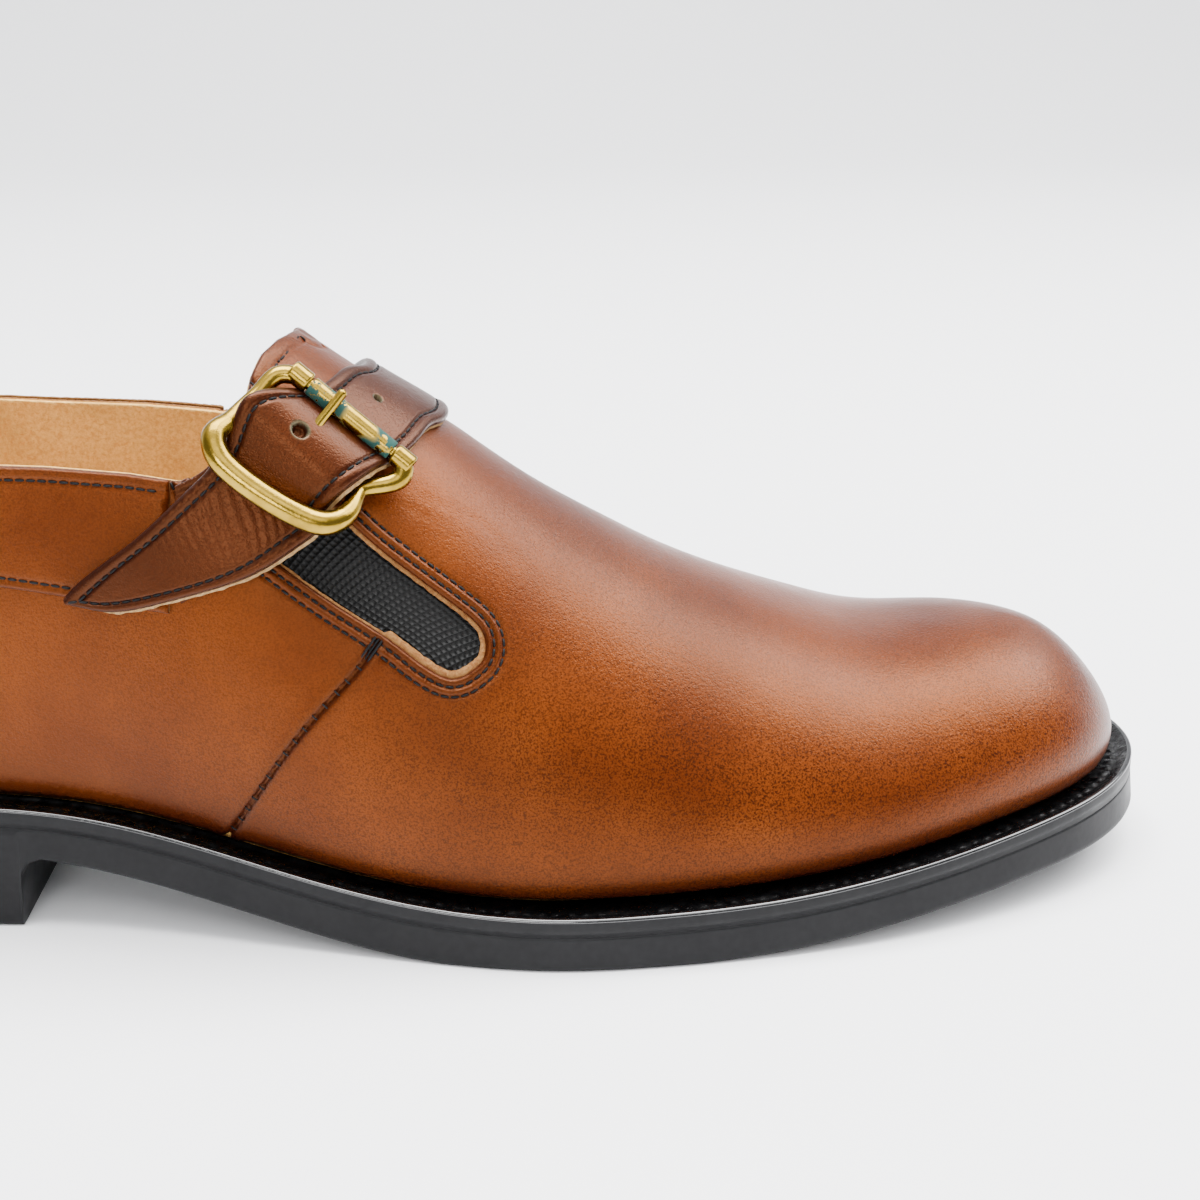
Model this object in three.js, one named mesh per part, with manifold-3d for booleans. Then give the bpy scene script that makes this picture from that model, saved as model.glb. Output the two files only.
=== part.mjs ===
// A man's single monk strap shoe for the right foot, in millimetres.
// +X runs to the toe, +Y to the inner (medial) side of the foot and +Z up.
// The origin is on the floor, in the middle of the sole's box.
import * as THREE from 'three';
import { mergeVertices } from 'three/addons/utils/BufferGeometryUtils.js';
import Module from 'manifold-3d';

const wasm = await Module();
wasm.setup();

// Driving dimensions
const LENGTH = 300;
const HALF = LENGTH / 2;
const WALL = 2.4;
const GAP = 0.3;
const WELT_THICK = 3.0;
const COLLAR_STEP = 1.2;
const STRAP_THICK = 2.2;
const TAB_THICK = 1.2;
const GORE_THICK = 1.0;
const GORE_DEPTH = 1.2;
const INSOLE_THICK = 2.2;

// Buckle stock
const D_BAR_RADIUS = 2.5;
const CENTRE_BAR_RADIUS = 1.2;
const ROLLER_ROD_RADIUS = 1.1;
const ROLLER_RADIUS = 1.9;
const PRONG_RADIUS = 1.0;

// Sole outline seen from above: distance from the centre line to each edge
const SOLE_OUTLINE = [
  { x: -150, lateral: 0, medial: 0 },
  { x: -146, lateral: -15.3, medial: 15.3 },
  { x: -138, lateral: -23.8, medial: 23.8 },
  { x: -125, lateral: -30.2, medial: 29.8 },
  { x: -108, lateral: -33.2, medial: 32.4 },
  { x: -88, lateral: -34.3, medial: 32.6 },
  { x: -68, lateral: -35.6, medial: 31.0 },
  { x: -48, lateral: -39.0, medial: 29.0 },
  { x: -25, lateral: -44.4, medial: 28.4 },
  { x: 0, lateral: -50.4, medial: 31.6 },
  { x: 25, lateral: -54.6, medial: 39.2 },
  { x: 45, lateral: -53.8, medial: 46.6 },
  { x: 65, lateral: -51.0, medial: 52.2 },
  { x: 85, lateral: -46.6, medial: 54.6 },
  { x: 105, lateral: -40.0, medial: 51.5 },
  { x: 122, lateral: -32.0, medial: 44.2 },
  { x: 136, lateral: -22.8, medial: 34.0 },
  { x: 145, lateral: -12.5, medial: 23.0 },
  { x: 150, lateral: 4.5, medial: 4.5 },
];

// Heel block and breast, then the arch, the tread and the toe spring
const BREAST = [
  { x: -150, z: 0 },
  { x: -77.4, z: 0 },
  { x: -76.6, z: 11.0 },
  { x: -75.2, z: 13.4 },
  { x: -72.5, z: 14.4 },
];
const SOLE_BOTTOM = [
  { x: -72.5, z: 14.4 },
  { x: -60, z: 12.4 },
  { x: -40, z: 8.2 },
  { x: -20, z: 3.6 },
  { x: -5, z: 0.9 },
  { x: 5, z: 0 },
  { x: 55, z: 0 },
  { x: 75, z: 1.2 },
  { x: 95, z: 3.6 },
  { x: 115, z: 6.2 },
  { x: 135, z: 8.2 },
  { x: 150, z: 9.6 },
];
const TREAD = { back: 5, front: 55 };
const SOLE_TOP = [
  { x: -150, z: 25.5 },
  { x: -110, z: 24.8 },
  { x: -80, z: 24.2 },
  { x: -60, z: 22.2 },
  { x: -40, z: 18.4 },
  { x: -20, z: 14.0 },
  { x: 0, z: 10.9 },
  { x: 20, z: 9.9 },
  { x: 45, z: 10.0 },
  { x: 70, z: 10.9 },
  { x: 95, z: 13.4 },
  { x: 115, z: 16.0 },
  { x: 135, z: 18.4 },
  { x: 150, z: 20.2 },
];

// Instep ridge of the upper. Behind the tongue it only shapes the side walls
const RIDGE = [
  { x: -150, z: 138, y: 0 },
  { x: -110, z: 140, y: 0 },
  { x: -70, z: 133, y: -0.5 },
  { x: -40, z: 121.5, y: -1 },
  { x: -22, z: 110.2, y: -1 },
  { x: -8, z: 100.5, y: -0.7 },
  { x: 5, z: 92.2, y: -0.2 },
  { x: 14, z: 85.4, y: 0.4 },
  { x: 24, z: 78.4, y: 1 },
  { x: 36, z: 71, y: 2 },
  { x: 50, z: 63, y: 3 },
  { x: 64, z: 56.8, y: 4.4 },
  { x: 78, z: 51.3, y: 5.7 },
  { x: 90, z: 47.7, y: 6.6 },
  { x: 100, z: 47, y: 7.3 },
  { x: 110, z: 47.6, y: 7.6 },
  { x: 120, z: 47.6, y: 7.5 },
  { x: 135, z: 44.6, y: 6.9 },
  { x: 150, z: 37.2, y: 6 },
];
const RIDGE_ENDS = { heel: -100, toe: 119.5, heelFrom: -60, toeFrom: 50 };

// Cross sections: squareness of the arch, swell of each side, width of the welt
const SECTIONS = [
  { x: -150, square: 2.4, lateral: 3.0, medial: 3.0, welt: 6.0 },
  { x: -110, square: 2.5, lateral: 4.0, medial: 4.0, welt: 6.0 },
  { x: -70, square: 2.6, lateral: 4.5, medial: 6.5, welt: 6.0 },
  { x: -35, square: 2.4, lateral: 4.5, medial: 10.0, welt: 6.2 },
  { x: 0, square: 2.1, lateral: 3.5, medial: 9.5, welt: 6.5 },
  { x: 30, square: 2.05, lateral: 2.8, medial: 6.5, welt: 7.2 },
  { x: 60, square: 2.1, lateral: 2.5, medial: 4.0, welt: 7.5 },
  { x: 90, square: 2.25, lateral: 2.5, medial: 2.8, welt: 7.5 },
  { x: 120, square: 2.4, lateral: 2.5, medial: 2.5, welt: 7.4 },
  { x: 150, square: 2.4, lateral: 2.2, medial: 2.2, welt: 7.0 },
];
const SWELL_RISE = 0.72;

// Collar edge with the tongue's outline, and the lower edge of the collar band, both from the side
const TOPLINE = [
  { x: -160, z: 98.2 },
  { x: -146, z: 97.2 },
  { x: -138, z: 96.2 },
  { x: -125, z: 93.6 },
  { x: -105, z: 91.9 },
  { x: -85, z: 90.9 },
  { x: -65, z: 90.4 },
  { x: -50, z: 89.4 },
  { x: -41, z: 88.1 },
  { x: -36, z: 89.7 },
  { x: -32, z: 95.5 },
  { x: -29.2, z: 100.4 },
  { x: -28.3, z: 105.4 },
  { x: -26.8, z: 108.6 },
  { x: -24.6, z: 110.3 },
  { x: -22.6, z: 110.7 },
  { x: -19, z: 111.6 },
];
// For each millimetre towards the inner side, how much lower and how much further forward the top edge
// stands. The table above is for the lateral side, at slantFrom
const TOPLINE_TURN = { tilt: 0.03, slant: 0.16, slantFrom: -17 };
const COLLAR_LOW = [
  { x: -160, z: 77 },
  { x: -140, z: 74.4 },
  { x: -115, z: 71.6 },
  { x: -90, z: 70.2 },
  { x: -75, z: 69.6 },
  { x: -60, z: 67.6 },
  { x: -43.5, z: 65.5 },
];
const COLLAR_FRONT = { lowX: -43.5, topX: -42.2 };

// Gore window, from its round end up to the collar. Stations run along the foot in millimetres,
// across goes from 0 at the ridge to 1 at the welt
const WINDOW = [
  { rear: 9.0, rearAcross: 0.626, front: 11.2, frontAcross: 0.605 },
  { rear: 6.8, rearAcross: 0.637, front: 12.7, frontAcross: 0.586 },
  { rear: 4.5, rearAcross: 0.638, front: 13.6, frontAcross: 0.558 },
  { rear: 1.2, rearAcross: 0.632, front: 13.1, frontAcross: 0.532 },
  { rear: -2.5, rearAcross: 0.621, front: 9.6, frontAcross: 0.514 },
  { rear: -7.0, rearAcross: 0.612, front: 3.8, frontAcross: 0.503 },
  { rear: -12.7, rearAcross: 0.606, front: -2.5, frontAcross: 0.49 },
  { rear: -18.4, rearAcross: 0.6, front: -8.8, frontAcross: 0.474 },
  { rear: -26, rearAcross: 0.589, front: -16.5, frontAcross: 0.446 },
  { rear: -33.5, rearAcross: 0.572, front: -25, frontAcross: 0.41 },
  { rear: -39, rearAcross: 0.55, front: -32.5, frontAcross: 0.36 },
  { rear: -42, rearAcross: 0.51, front: -37.5, frontAcross: 0.305 },
];

// Strap from the inner collar over the instep to its free tip on the outer side.
// across is positive on the inner side, lift is the height of its underside over the wall
const STRAP = [
  { rear: -41.4, rearAcross: 0.583, front: -42.6, frontAcross: 0.74, lift: 0.3 },
  { rear: -35, rearAcross: 0.553, front: -33, frontAcross: 0.685, lift: 0.3 },
  { rear: -28.5, rearAcross: 0.49, front: -21.5, frontAcross: 0.6, lift: 0.3 },
  { rear: -19.5, rearAcross: 0.375, front: -9.5, frontAcross: 0.46, lift: 0.3 },
  { rear: -13.2, rearAcross: 0.21, front: 0.2, frontAcross: 0.26, lift: 0.3 },
  { rear: -10.5, rearAcross: 0, front: 5.2, frontAcross: 0, lift: 0.3 },
  { rear: -13.2, rearAcross: -0.106, front: 2.8, frontAcross: -0.124, lift: 0.3 },
  { rear: -15.7, rearAcross: -0.193, front: 0.4, frontAcross: -0.21, lift: 0.3 },
  { rear: -18.3, rearAcross: -0.262, front: -2.2, frontAcross: -0.278, lift: 0.3 },
  { rear: -20.6, rearAcross: -0.302, front: -4.2, frontAcross: -0.318, lift: 1.3 },
  { rear: -24.0, rearAcross: -0.348, front: -7.5, frontAcross: -0.368, lift: 4.6 },
  { rear: -28.0, rearAcross: -0.394, front: -11.8, frontAcross: -0.427, lift: 6.7 },
  { rear: -30.2, rearAcross: -0.43, front: -14.6, frontAcross: -0.465, lift: 5.2 },
  { rear: -32.4, rearAcross: -0.475, front: -16.6, frontAcross: -0.5, lift: 2.1 },
  { rear: -35, rearAcross: -0.512, front: -17.2, frontAcross: -0.522, lift: 1.8 },
  { rear: -37.6, rearAcross: -0.546, front: -19.9, frontAcross: -0.553, lift: 1.8 },
  { rear: -45.3, rearAcross: -0.621, front: -26.3, frontAcross: -0.612, lift: 1.8 },
  { rear: -52.6, rearAcross: -0.674, front: -36.4, frontAcross: -0.672, lift: 1.8 },
  { rear: -58, rearAcross: -0.707, front: -49.5, frontAcross: -0.725, lift: 1.7 },
  { rear: -60.7, rearAcross: -0.725, front: -56.9, frontAcross: -0.738, lift: 1.7 },
  { rear: -61.9, rearAcross: -0.735, front: -61.2, frontAcross: -0.74, lift: 1.7 },
];

// Tab that holds the buckle: it goes on from the collar band to the centre bar, under the strap
const TAB = [
  { rear: -41.6, rearAcross: -0.565, front: -41, frontAcross: -0.7, lift: 0.3 },
  { rear: -36.5, rearAcross: -0.525, front: -27, frontAcross: -0.61, lift: 0.3 },
  { rear: -32.3, rearAcross: -0.468, front: -19, frontAcross: -0.53, lift: 0.3 },
  { rear: -26.8, rearAcross: -0.39, front: -13.2, frontAcross: -0.414, lift: 1.2 },
];

// Buckle frame from the roller's rear end, round the thick bar, to the roller's front end
const FRAME = [
  { station: -22.3, across: -0.3, lift: 6.3, radius: 2.0 },
  { station: -26.2, across: -0.318, lift: 5.5, radius: 1.9 },
  { station: -29.2, across: -0.363, lift: 4.5, radius: 1.7 },
  { station: -31.3, across: -0.405, lift: 4.4, radius: 1.7 },
  { station: -33.0, across: -0.446, lift: 5.4, radius: 2.0 },
  { station: -34.6, across: -0.476, lift: 6.5, radius: 2.4 },
  { station: -34.1, across: -0.497, lift: 7.0, radius: D_BAR_RADIUS },
  { station: -31.6, across: -0.51, lift: 7.1, radius: D_BAR_RADIUS },
  { station: -27.9, across: -0.516, lift: 7.1, radius: D_BAR_RADIUS },
  { station: -23.3, across: -0.518, lift: 7.1, radius: D_BAR_RADIUS },
  { station: -19.2, across: -0.515, lift: 7.0, radius: D_BAR_RADIUS },
  { station: -15.6, across: -0.505, lift: 6.9, radius: D_BAR_RADIUS },
  { station: -12.9, across: -0.483, lift: 6.2, radius: 2.3 },
  { station: -11.2, across: -0.451, lift: 5.0, radius: 1.9 },
  { station: -9.9, across: -0.417, lift: 3.8, radius: 1.7 },
  { station: -6.6, across: -0.389, lift: 4.1, radius: 1.9 },
  { station: -3.2, across: -0.355, lift: 5.2, radius: 2.1 },
  { station: -3.4, across: -0.331, lift: 6.4, radius: 2.0 },
];
const CENTRE_BAR = {
  rear: { station: -30.0, across: -0.384, lift: 3.7 },
  front: { station: -9.6, across: -0.414, lift: 3.6 },
};
const LOOP_WALL = 0.9;
const LOOP_ENDS = { from: 0.14, to: 0.86 };
const PRONG_SLOT = 4.4;
const PRONG_REACH = 2.6;
const PRONG_REST = 0.34;
const ROLLER_CLEAR = 2.7;

// Natural cubic spline through one column of a table
function spline(rows, key, column) {
  const xs = rows.map((row) => key(row));
  const ys = rows.map((row) => row[column]);
  const last = xs.length - 1;
  const lower = new Array(last + 1).fill(0);
  const bend = new Array(last + 1).fill(0);
  for (let i = 1; i < last; i += 1) {
    const before = xs[i] - xs[i - 1];
    const after = xs[i + 1] - xs[i];
    const slopeChange = (ys[i + 1] - ys[i]) / after - (ys[i] - ys[i - 1]) / before;
    const pivot = 2 * (before + after) - before * lower[i - 1];
    lower[i] = after / pivot;
    bend[i] = (6 * slopeChange - before * bend[i - 1]) / pivot;
  }
  for (let i = last - 1; i > 0; i -= 1) {
    bend[i] -= lower[i] * bend[i + 1];
  }
  return (x) => {
    let i = 0;
    while (i < last - 1 && x >= xs[i + 1]) i += 1;
    const step = xs[i + 1] - xs[i];
    const a = xs[i + 1] - x;
    const b = x - xs[i];
    const curve = (bend[i] * a ** 3 + bend[i + 1] * b ** 3) / (6 * step);
    return curve + (ys[i] / step - (bend[i] * step) / 6) * a + (ys[i + 1] / step - (bend[i + 1] * step) / 6) * b;
  };
}

// Curve through one column that never swings past its rows
function steady(values) {
  const last = values.length - 1;
  const rise = values.slice(1).map((value, i) => value - values[i]);
  const slope = values.map((_, i) => {
    if (i === 0 || i === last || rise[i - 1] * rise[i] <= 0) return 0;
    return (2 * rise[i - 1] * rise[i]) / (rise[i - 1] + rise[i]);
  });
  return (u) => {
    const i = THREE.MathUtils.clamp(Math.floor(u), 0, last - 1);
    const t = u - i;
    const ends = (2 * t ** 3 - 3 * t ** 2 + 1) * values[i] + (3 * t ** 2 - 2 * t ** 3) * values[i + 1];
    return ends + (t ** 3 - 2 * t ** 2 + t) * slope[i] + (t ** 3 - t ** 2) * slope[i + 1];
  };
}

function straight(rows, x) {
  let i = 0;
  while (i < rows.length - 2 && x > rows[i + 1].x) i += 1;
  const share = (x - rows[i].x) / (rows[i + 1].x - rows[i].x);
  return rows[i].z + share * (rows[i + 1].z - rows[i].z);
}

const byX = (row) => row.x;
const turnAt = (x) => Math.acos(THREE.MathUtils.clamp(-x / HALF, -1, 1)) / Math.PI;
const stationAt = (turn) => -HALF * Math.cos(Math.PI * turn);
const edge = {
  lateral: spline(SOLE_OUTLINE, (row) => turnAt(row.x), 'lateral'),
  medial: spline(SOLE_OUTLINE, (row) => turnAt(row.x), 'medial'),
};
const archZ = spline(SOLE_BOTTOM, byX, 'z');
const topZ = spline(SOLE_TOP, byX, 'z');
const ridgeZ = spline(RIDGE, byX, 'z');
const ridgeY = spline(RIDGE, byX, 'y');
const square = spline(SECTIONS, byX, 'square');
const weltWidth = spline(SECTIONS, byX, 'welt');
const swell = {
  lateral: spline(SECTIONS, byX, 'lateral'),
  medial: spline(SECTIONS, byX, 'medial'),
};

function bottomZ(x) {
  if (x < SOLE_BOTTOM[0].x) return straight(BREAST, x);
  if (x > TREAD.back && x < TREAD.front) return 0;
  return Math.max(archZ(x), 0);
}

// A point on the outline, moved in from the edge by inset
function outline(turn, side, inset) {
  const small = 1e-4;
  const at = (t) => new THREE.Vector2(stationAt(t), edge[side](t));
  const point = at(turn);
  const along = at(Math.min(turn + small, 1)).sub(at(Math.max(turn - small, 0)));
  if (turn <= 0 || turn >= 1) along.x = 0;
  along.normalize();
  const inward = side === 'lateral' ? 1 : -1;
  return new THREE.Vector2(point.x - along.y * inward * inset, point.y + along.x * inward * inset);
}

// The ridge is shorter than the sole, so stations close up towards the heel and the toe
function ridgeX(x) {
  const toeSqueeze = (HALF - RIDGE_ENDS.toe) / (HALF - RIDGE_ENDS.toeFrom) ** 2;
  const heelSqueeze = (RIDGE_ENDS.heel + HALF) / (HALF + RIDGE_ENDS.heelFrom) ** 2;
  if (x > RIDGE_ENDS.toeFrom) return x - toeSqueeze * (x - RIDGE_ENDS.toeFrom) ** 2;
  if (x < RIDGE_ENDS.heelFrom) return x + heelSqueeze * (x - RIDGE_ENDS.heelFrom) ** 2;
  return x;
}

// The outside of the upper: across is -1 at the outer welt, 0 on the ridge and 1 at the inner welt
function skin(turn, across) {
  const side = across < 0 ? 'lateral' : 'medial';
  const angle = (1 - Math.abs(across)) * (Math.PI / 2);
  const station = stationAt(turn);
  const foot = outline(turn, side, weltWidth(station));
  const beside = outline(turn, side, weltWidth(station) + 1);
  const power = square(station);
  const c = Math.max(Math.cos(angle), 0);
  const s = Math.sin(angle);
  const reach = 1 / (c ** power + s ** power) ** (1 / power);
  const out = reach * c;
  const up = Math.min(reach * s, 1);
  const overX = ridgeX(station);
  const bulge = swell[side](station) * Math.sin(Math.PI * up ** SWELL_RISE);
  const x = overX + (foot.x - overX) * out + (foot.x - beside.x) * bulge;
  const y = ridgeY(overX) + (foot.y - ridgeY(overX)) * out + (foot.y - beside.y) * bulge;
  const base = topZ(foot.x) + GAP;
  return new THREE.Vector3(x, y, base + (ridgeZ(Math.max(x, -HALF)) - base) * up);
}

// A point held off the skin along its normal
function place(turn, across, lift) {
  const point = skin(turn, across);
  if (lift === 0) return point;
  const small = 2e-3;
  const t = THREE.MathUtils.clamp(turn, 2 * small, 1 - 2 * small);
  const a = THREE.MathUtils.clamp(across, small - 1, 1 - small);
  const along = skin(t + small, a).sub(skin(t - small, a));
  const over = skin(t, a + small).sub(skin(t, a - small));
  return point.addScaledVector(along.cross(over).normalize(), lift);
}

const placeAt = (station, across, lift) => place(turnAt(station), across, lift);

// Joins a list of closed or open rows of points into faces
class Faces {
  constructor() {
    this.positions = [];
  }

  triangle(a, b, c) {
    for (const p of [a, b, c]) this.positions.push(p.x, p.y, p.z);
  }

  quad(a, b, c, d) {
    this.triangle(a, b, c);
    this.triangle(a, c, d);
  }

  solid() {
    const geometry = new THREE.BufferGeometry();
    geometry.setAttribute('position', new THREE.Float32BufferAttribute(this.positions, 3));
    return toSolid(geometry);
  }
}

function toSolid(geometry) {
  const bare = geometry.index ? geometry.toNonIndexed() : geometry.clone();
  bare.deleteAttribute('normal');
  bare.deleteAttribute('uv');
  const merged = mergeVertices(bare, 1e-4);
  const index = merged.index.array;
  const kept = [];
  for (let i = 0; i < index.length; i += 3) {
    const [a, b, c] = index.slice(i, i + 3);
    if (a !== b && b !== c && a !== c) kept.push(a, b, c);
  }
  const mesh = new wasm.Mesh({
    numProp: 3,
    vertProperties: new Float32Array(merged.attributes.position.array),
    triVerts: new Uint32Array(kept),
  });
  const solid = new wasm.Manifold(mesh);
  return solid.volume() < 0 ? toSolid(flipped(geometry)) : solid;
}

function flipped(geometry) {
  const bare = geometry.index ? geometry.toNonIndexed() : geometry.clone();
  const p = bare.attributes.position;
  for (let i = 0; i < p.count; i += 3) {
    const kept = [p.getX(i), p.getY(i), p.getZ(i)];
    p.setXYZ(i, p.getX(i + 1), p.getY(i + 1), p.getZ(i + 1));
    p.setXYZ(i + 1, ...kept);
  }
  return bare;
}

function toGeometry(solid) {
  const mesh = solid.getMesh();
  const geometry = new THREE.BufferGeometry();
  const positions = new Float32Array(mesh.numVert * 3);
  for (let i = 0; i < mesh.numVert; i += 1) {
    positions.set(mesh.vertProperties.subarray(i * mesh.numProp, i * mesh.numProp + 3), i * 3);
  }
  geometry.setAttribute('position', new THREE.BufferAttribute(positions, 3));
  geometry.setIndex(new THREE.BufferAttribute(new Uint32Array(mesh.triVerts), 1));
  geometry.computeVertexNormals();
  return geometry;
}

function evenly(count) {
  return Array.from({ length: count + 1 }, (_, i) => i / count);
}

// Turns round the outline: even steps, with the breast's own stations put in
function soleTurns(count) {
  const extra = [...BREAST.slice(1), SOLE_BOTTOM[0]].map((row) => turnAt(row.x));
  const near = 0.4 / count;
  const even = evenly(count).filter((t) => extra.every((e) => Math.abs(e - t) > near));
  return [...new Set([...even, ...extra])].sort((a, b) => a - b);
}

// A plate made of levels, each a ring round the outline, capped straight across below and above
function plate(turns, levels) {
  const faces = new Faces();
  const ring = (level, side) => turns.map((turn) => level(turn, side));
  const rings = levels.map((level) => ({ lateral: ring(level, 'lateral'), medial: ring(level, 'medial') }));
  const top = rings.length - 1;
  for (let i = 0; i < turns.length - 1; i += 1) {
    for (let k = 0; k < top; k += 1) {
      const low = rings[k];
      const high = rings[k + 1];
      faces.quad(low.lateral[i], low.lateral[i + 1], high.lateral[i + 1], high.lateral[i]);
      faces.quad(low.medial[i + 1], low.medial[i], high.medial[i], high.medial[i + 1]);
    }
    faces.quad(rings[0].medial[i], rings[0].medial[i + 1], rings[0].lateral[i + 1], rings[0].lateral[i]);
    const high = rings[top];
    faces.quad(high.lateral[i], high.lateral[i + 1], high.medial[i + 1], high.medial[i]);
  }
  return faces.solid();
}

// A level of a plate at an inset from the edge and a height over the sole's top
function topLevel(insetAt, height) {
  return (turn, side) => {
    const p = outline(turn, side, insetAt(stationAt(turn)));
    return new THREE.Vector3(p.x, p.y, topZ(p.x) + height);
  };
}

function bottomLevel(inset, height) {
  return (turn, side) => {
    const p = outline(turn, side, inset);
    return new THREE.Vector3(p.x, p.y, bottomZ(stationAt(turn)) + height);
  };
}

const WELT_REACH = 5;
const weltInner = (x) => weltWidth(x) + WELT_REACH;

function makeSole() {
  const bevel = 0.9;
  return plate(soleTurns(54), [
    bottomLevel(bevel, 0),
    bottomLevel(0, bevel),
    topLevel(() => 0.8, -WELT_THICK - GAP),
    topLevel((x) => weltInner(x) + GAP, -WELT_THICK - GAP),
    topLevel((x) => weltInner(x) + GAP, 0),
  ]);
}

function makeInsole() {
  const clear = (x) => weltWidth(x) + WALL + 0.7;
  return plate(evenly(40), [topLevel(clear, GAP), topLevel(clear, GAP + INSOLE_THICK)]);
}

// The welt: a flat strip with a round bead along its outer edge
function makeWelt() {
  const bead = [
    { inset: 1.0, height: -WELT_THICK },
    { inset: 0.8, height: -0.5 },
    { inset: 1.3, height: 0.4 },
    { inset: 2.2, height: 0.7 },
    { inset: 3.0, height: 0.3 },
    { inset: 3.4, height: -0.3 },
  ];
  const levels = bead.map((row) => topLevel(() => row.inset, row.height));
  levels.push(topLevel((x) => weltWidth(x) - 0.8, -0.3));
  levels.push(topLevel((x) => weltWidth(x) - 0.2, 0));
  levels.push(topLevel(weltInner, 0));
  levels.push(topLevel(weltInner, -WELT_THICK));
  const turns = evenly(44);
  const faces = new Faces();
  for (const side of ['lateral', 'medial']) {
    for (let i = 0; i < turns.length - 1; i += 1) {
      levels.forEach((level, k) => {
        const next = levels[(k + 1) % levels.length];
        const [from, to] = side === 'lateral' ? [turns[i], turns[i + 1]] : [turns[i + 1], turns[i]];
        faces.quad(level(from, side), level(to, side), next(to, side), next(from, side));
      });
    }
  }
  return faces.solid();
}

// The whole foot form, held off the skin by lift and carried down below the feather edge by drop
function footForm(lift, drop) {
  const turns = evenly(41);
  const steps = evenly(12);
  const faces = new Faces();
  const half = (sign) => turns.map((turn) => {
    const column = steps.map((step) => place(turn, sign * (1 - step), lift));
    column.unshift(column[0].clone().setZ(column[0].z - drop));
    return column;
  });
  const lateral = half(-1);
  const medial = half(1);
  const crown = steps.length;
  turns.forEach((_, i) => medial[i][crown].copy(lateral[i][crown]));
  for (const end of [0, turns.length - 1]) {
    lateral[end].forEach((point, k) => {
      point.y = (point.y + medial[end][k].y) / 2;
      medial[end][k].copy(point);
    });
  }
  for (let i = 0; i < turns.length - 1; i += 1) {
    for (let k = 0; k < crown; k += 1) {
      faces.quad(lateral[i][k], lateral[i + 1][k], lateral[i + 1][k + 1], lateral[i][k + 1]);
      faces.quad(medial[i + 1][k], medial[i][k], medial[i][k + 1], medial[i + 1][k + 1]);
    }
    faces.quad(medial[i][0], medial[i + 1][0], lateral[i + 1][0], lateral[i][0]);
  }
  return faces.solid();
}

// A block through the whole shoe with a side view given by its corners
function sideBlock(corners, change = new THREE.Matrix4()) {
  const width = 140;
  const shape = new THREE.Shape(corners.map((row) => new THREE.Vector2(row.x, row.z)));
  const geometry = new THREE.ExtrudeGeometry(shape, { depth: width, bevelEnabled: false });
  geometry.rotateX(Math.PI / 2);
  geometry.translate(0, width / 2, 0);
  geometry.applyMatrix4(change);
  return toSolid(geometry);
}

function aboveTopline() {
  const high = 220;
  const front = TOPLINE[TOPLINE.length - 1].x;
  const shear = new THREE.Matrix4().makeShear(0, 0, TOPLINE_TURN.slant, -TOPLINE_TURN.tilt, 0, 0);
  shear.setPosition(-TOPLINE_TURN.slant * TOPLINE_TURN.slantFrom, 0, 0);
  return sideBlock([...TOPLINE, { x: front, z: high }, { x: TOPLINE[0].x, z: high }], shear);
}

function collarRegion() {
  const high = 130;
  return sideBlock([...COLLAR_LOW, { x: COLLAR_FRONT.topX, z: high }, { x: COLLAR_LOW[0].x, z: high }]);
}

// A slab that lies along the skin, through rows that give its two edges
function slab(rows, { sign = 1, low, high, lanes = 3, steps = 16, trim = 0, inset = 0 }) {
  const index = rows.map((row, i) => ({ ...row, x: i }));
  const read = Object.fromEntries(
    ['rear', 'rearAcross', 'front', 'frontAcross'].map((column) => [column, spline(index, byX, column)]),
  );
  const raise = steady(rows.map((row) => row.lift ?? 0));
  const last = rows.length - 1;
  const faces = new Faces();
  const grid = (height) => evenly(steps).map((share) => {
    const u = trim + (last - 2 * trim) * share;
    return evenly(lanes).map((lane) => {
      const w = inset + (1 - 2 * inset) * lane;
      const station = read.rear(u) + (read.front(u) - read.rear(u)) * w;
      const across = read.rearAcross(u) + (read.frontAcross(u) - read.rearAcross(u)) * w;
      return placeAt(station, sign * across, height + raise(u));
    });
  });
  const under = grid(low);
  const over = grid(high);
  for (let i = 0; i < steps; i += 1) {
    for (let k = 0; k < lanes; k += 1) {
      faces.quad(over[i][k], over[i + 1][k], over[i + 1][k + 1], over[i][k + 1]);
      faces.quad(under[i][k], under[i][k + 1], under[i + 1][k + 1], under[i + 1][k]);
    }
    faces.quad(under[i][0], under[i + 1][0], over[i + 1][0], over[i][0]);
    faces.quad(over[i][lanes], over[i + 1][lanes], under[i + 1][lanes], under[i][lanes]);
  }
  for (let k = 0; k < lanes; k += 1) {
    faces.quad(under[0][k], over[0][k], over[0][k + 1], under[0][k + 1]);
    faces.quad(over[steps][k], under[steps][k], under[steps][k + 1], over[steps][k + 1]);
  }
  return faces.solid();
}

const windowHole = (sign) => slab(WINDOW, { sign, low: -2 * WALL, high: 2 * WALL, steps: 22 });

function makeGore(sign, above) {
  const high = -GORE_DEPTH;
  const low = high - GORE_THICK;
  return slab(WINDOW, { sign, low, high, steps: 22, trim: 0.34, inset: 0.065 }).subtract(above);
}

function makeUpper(above) {
  const outside = footForm(0, 0);
  const band = footForm(COLLAR_STEP, 0).intersect(collarRegion());
  const inside = footForm(-WALL, 6);
  return outside.add(band).subtract(inside).subtract(above)
    .subtract(windowHole(-1)).subtract(windowHole(1));
}

const onSkin = (row) => placeAt(row.station, row.across, row.lift);

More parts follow.
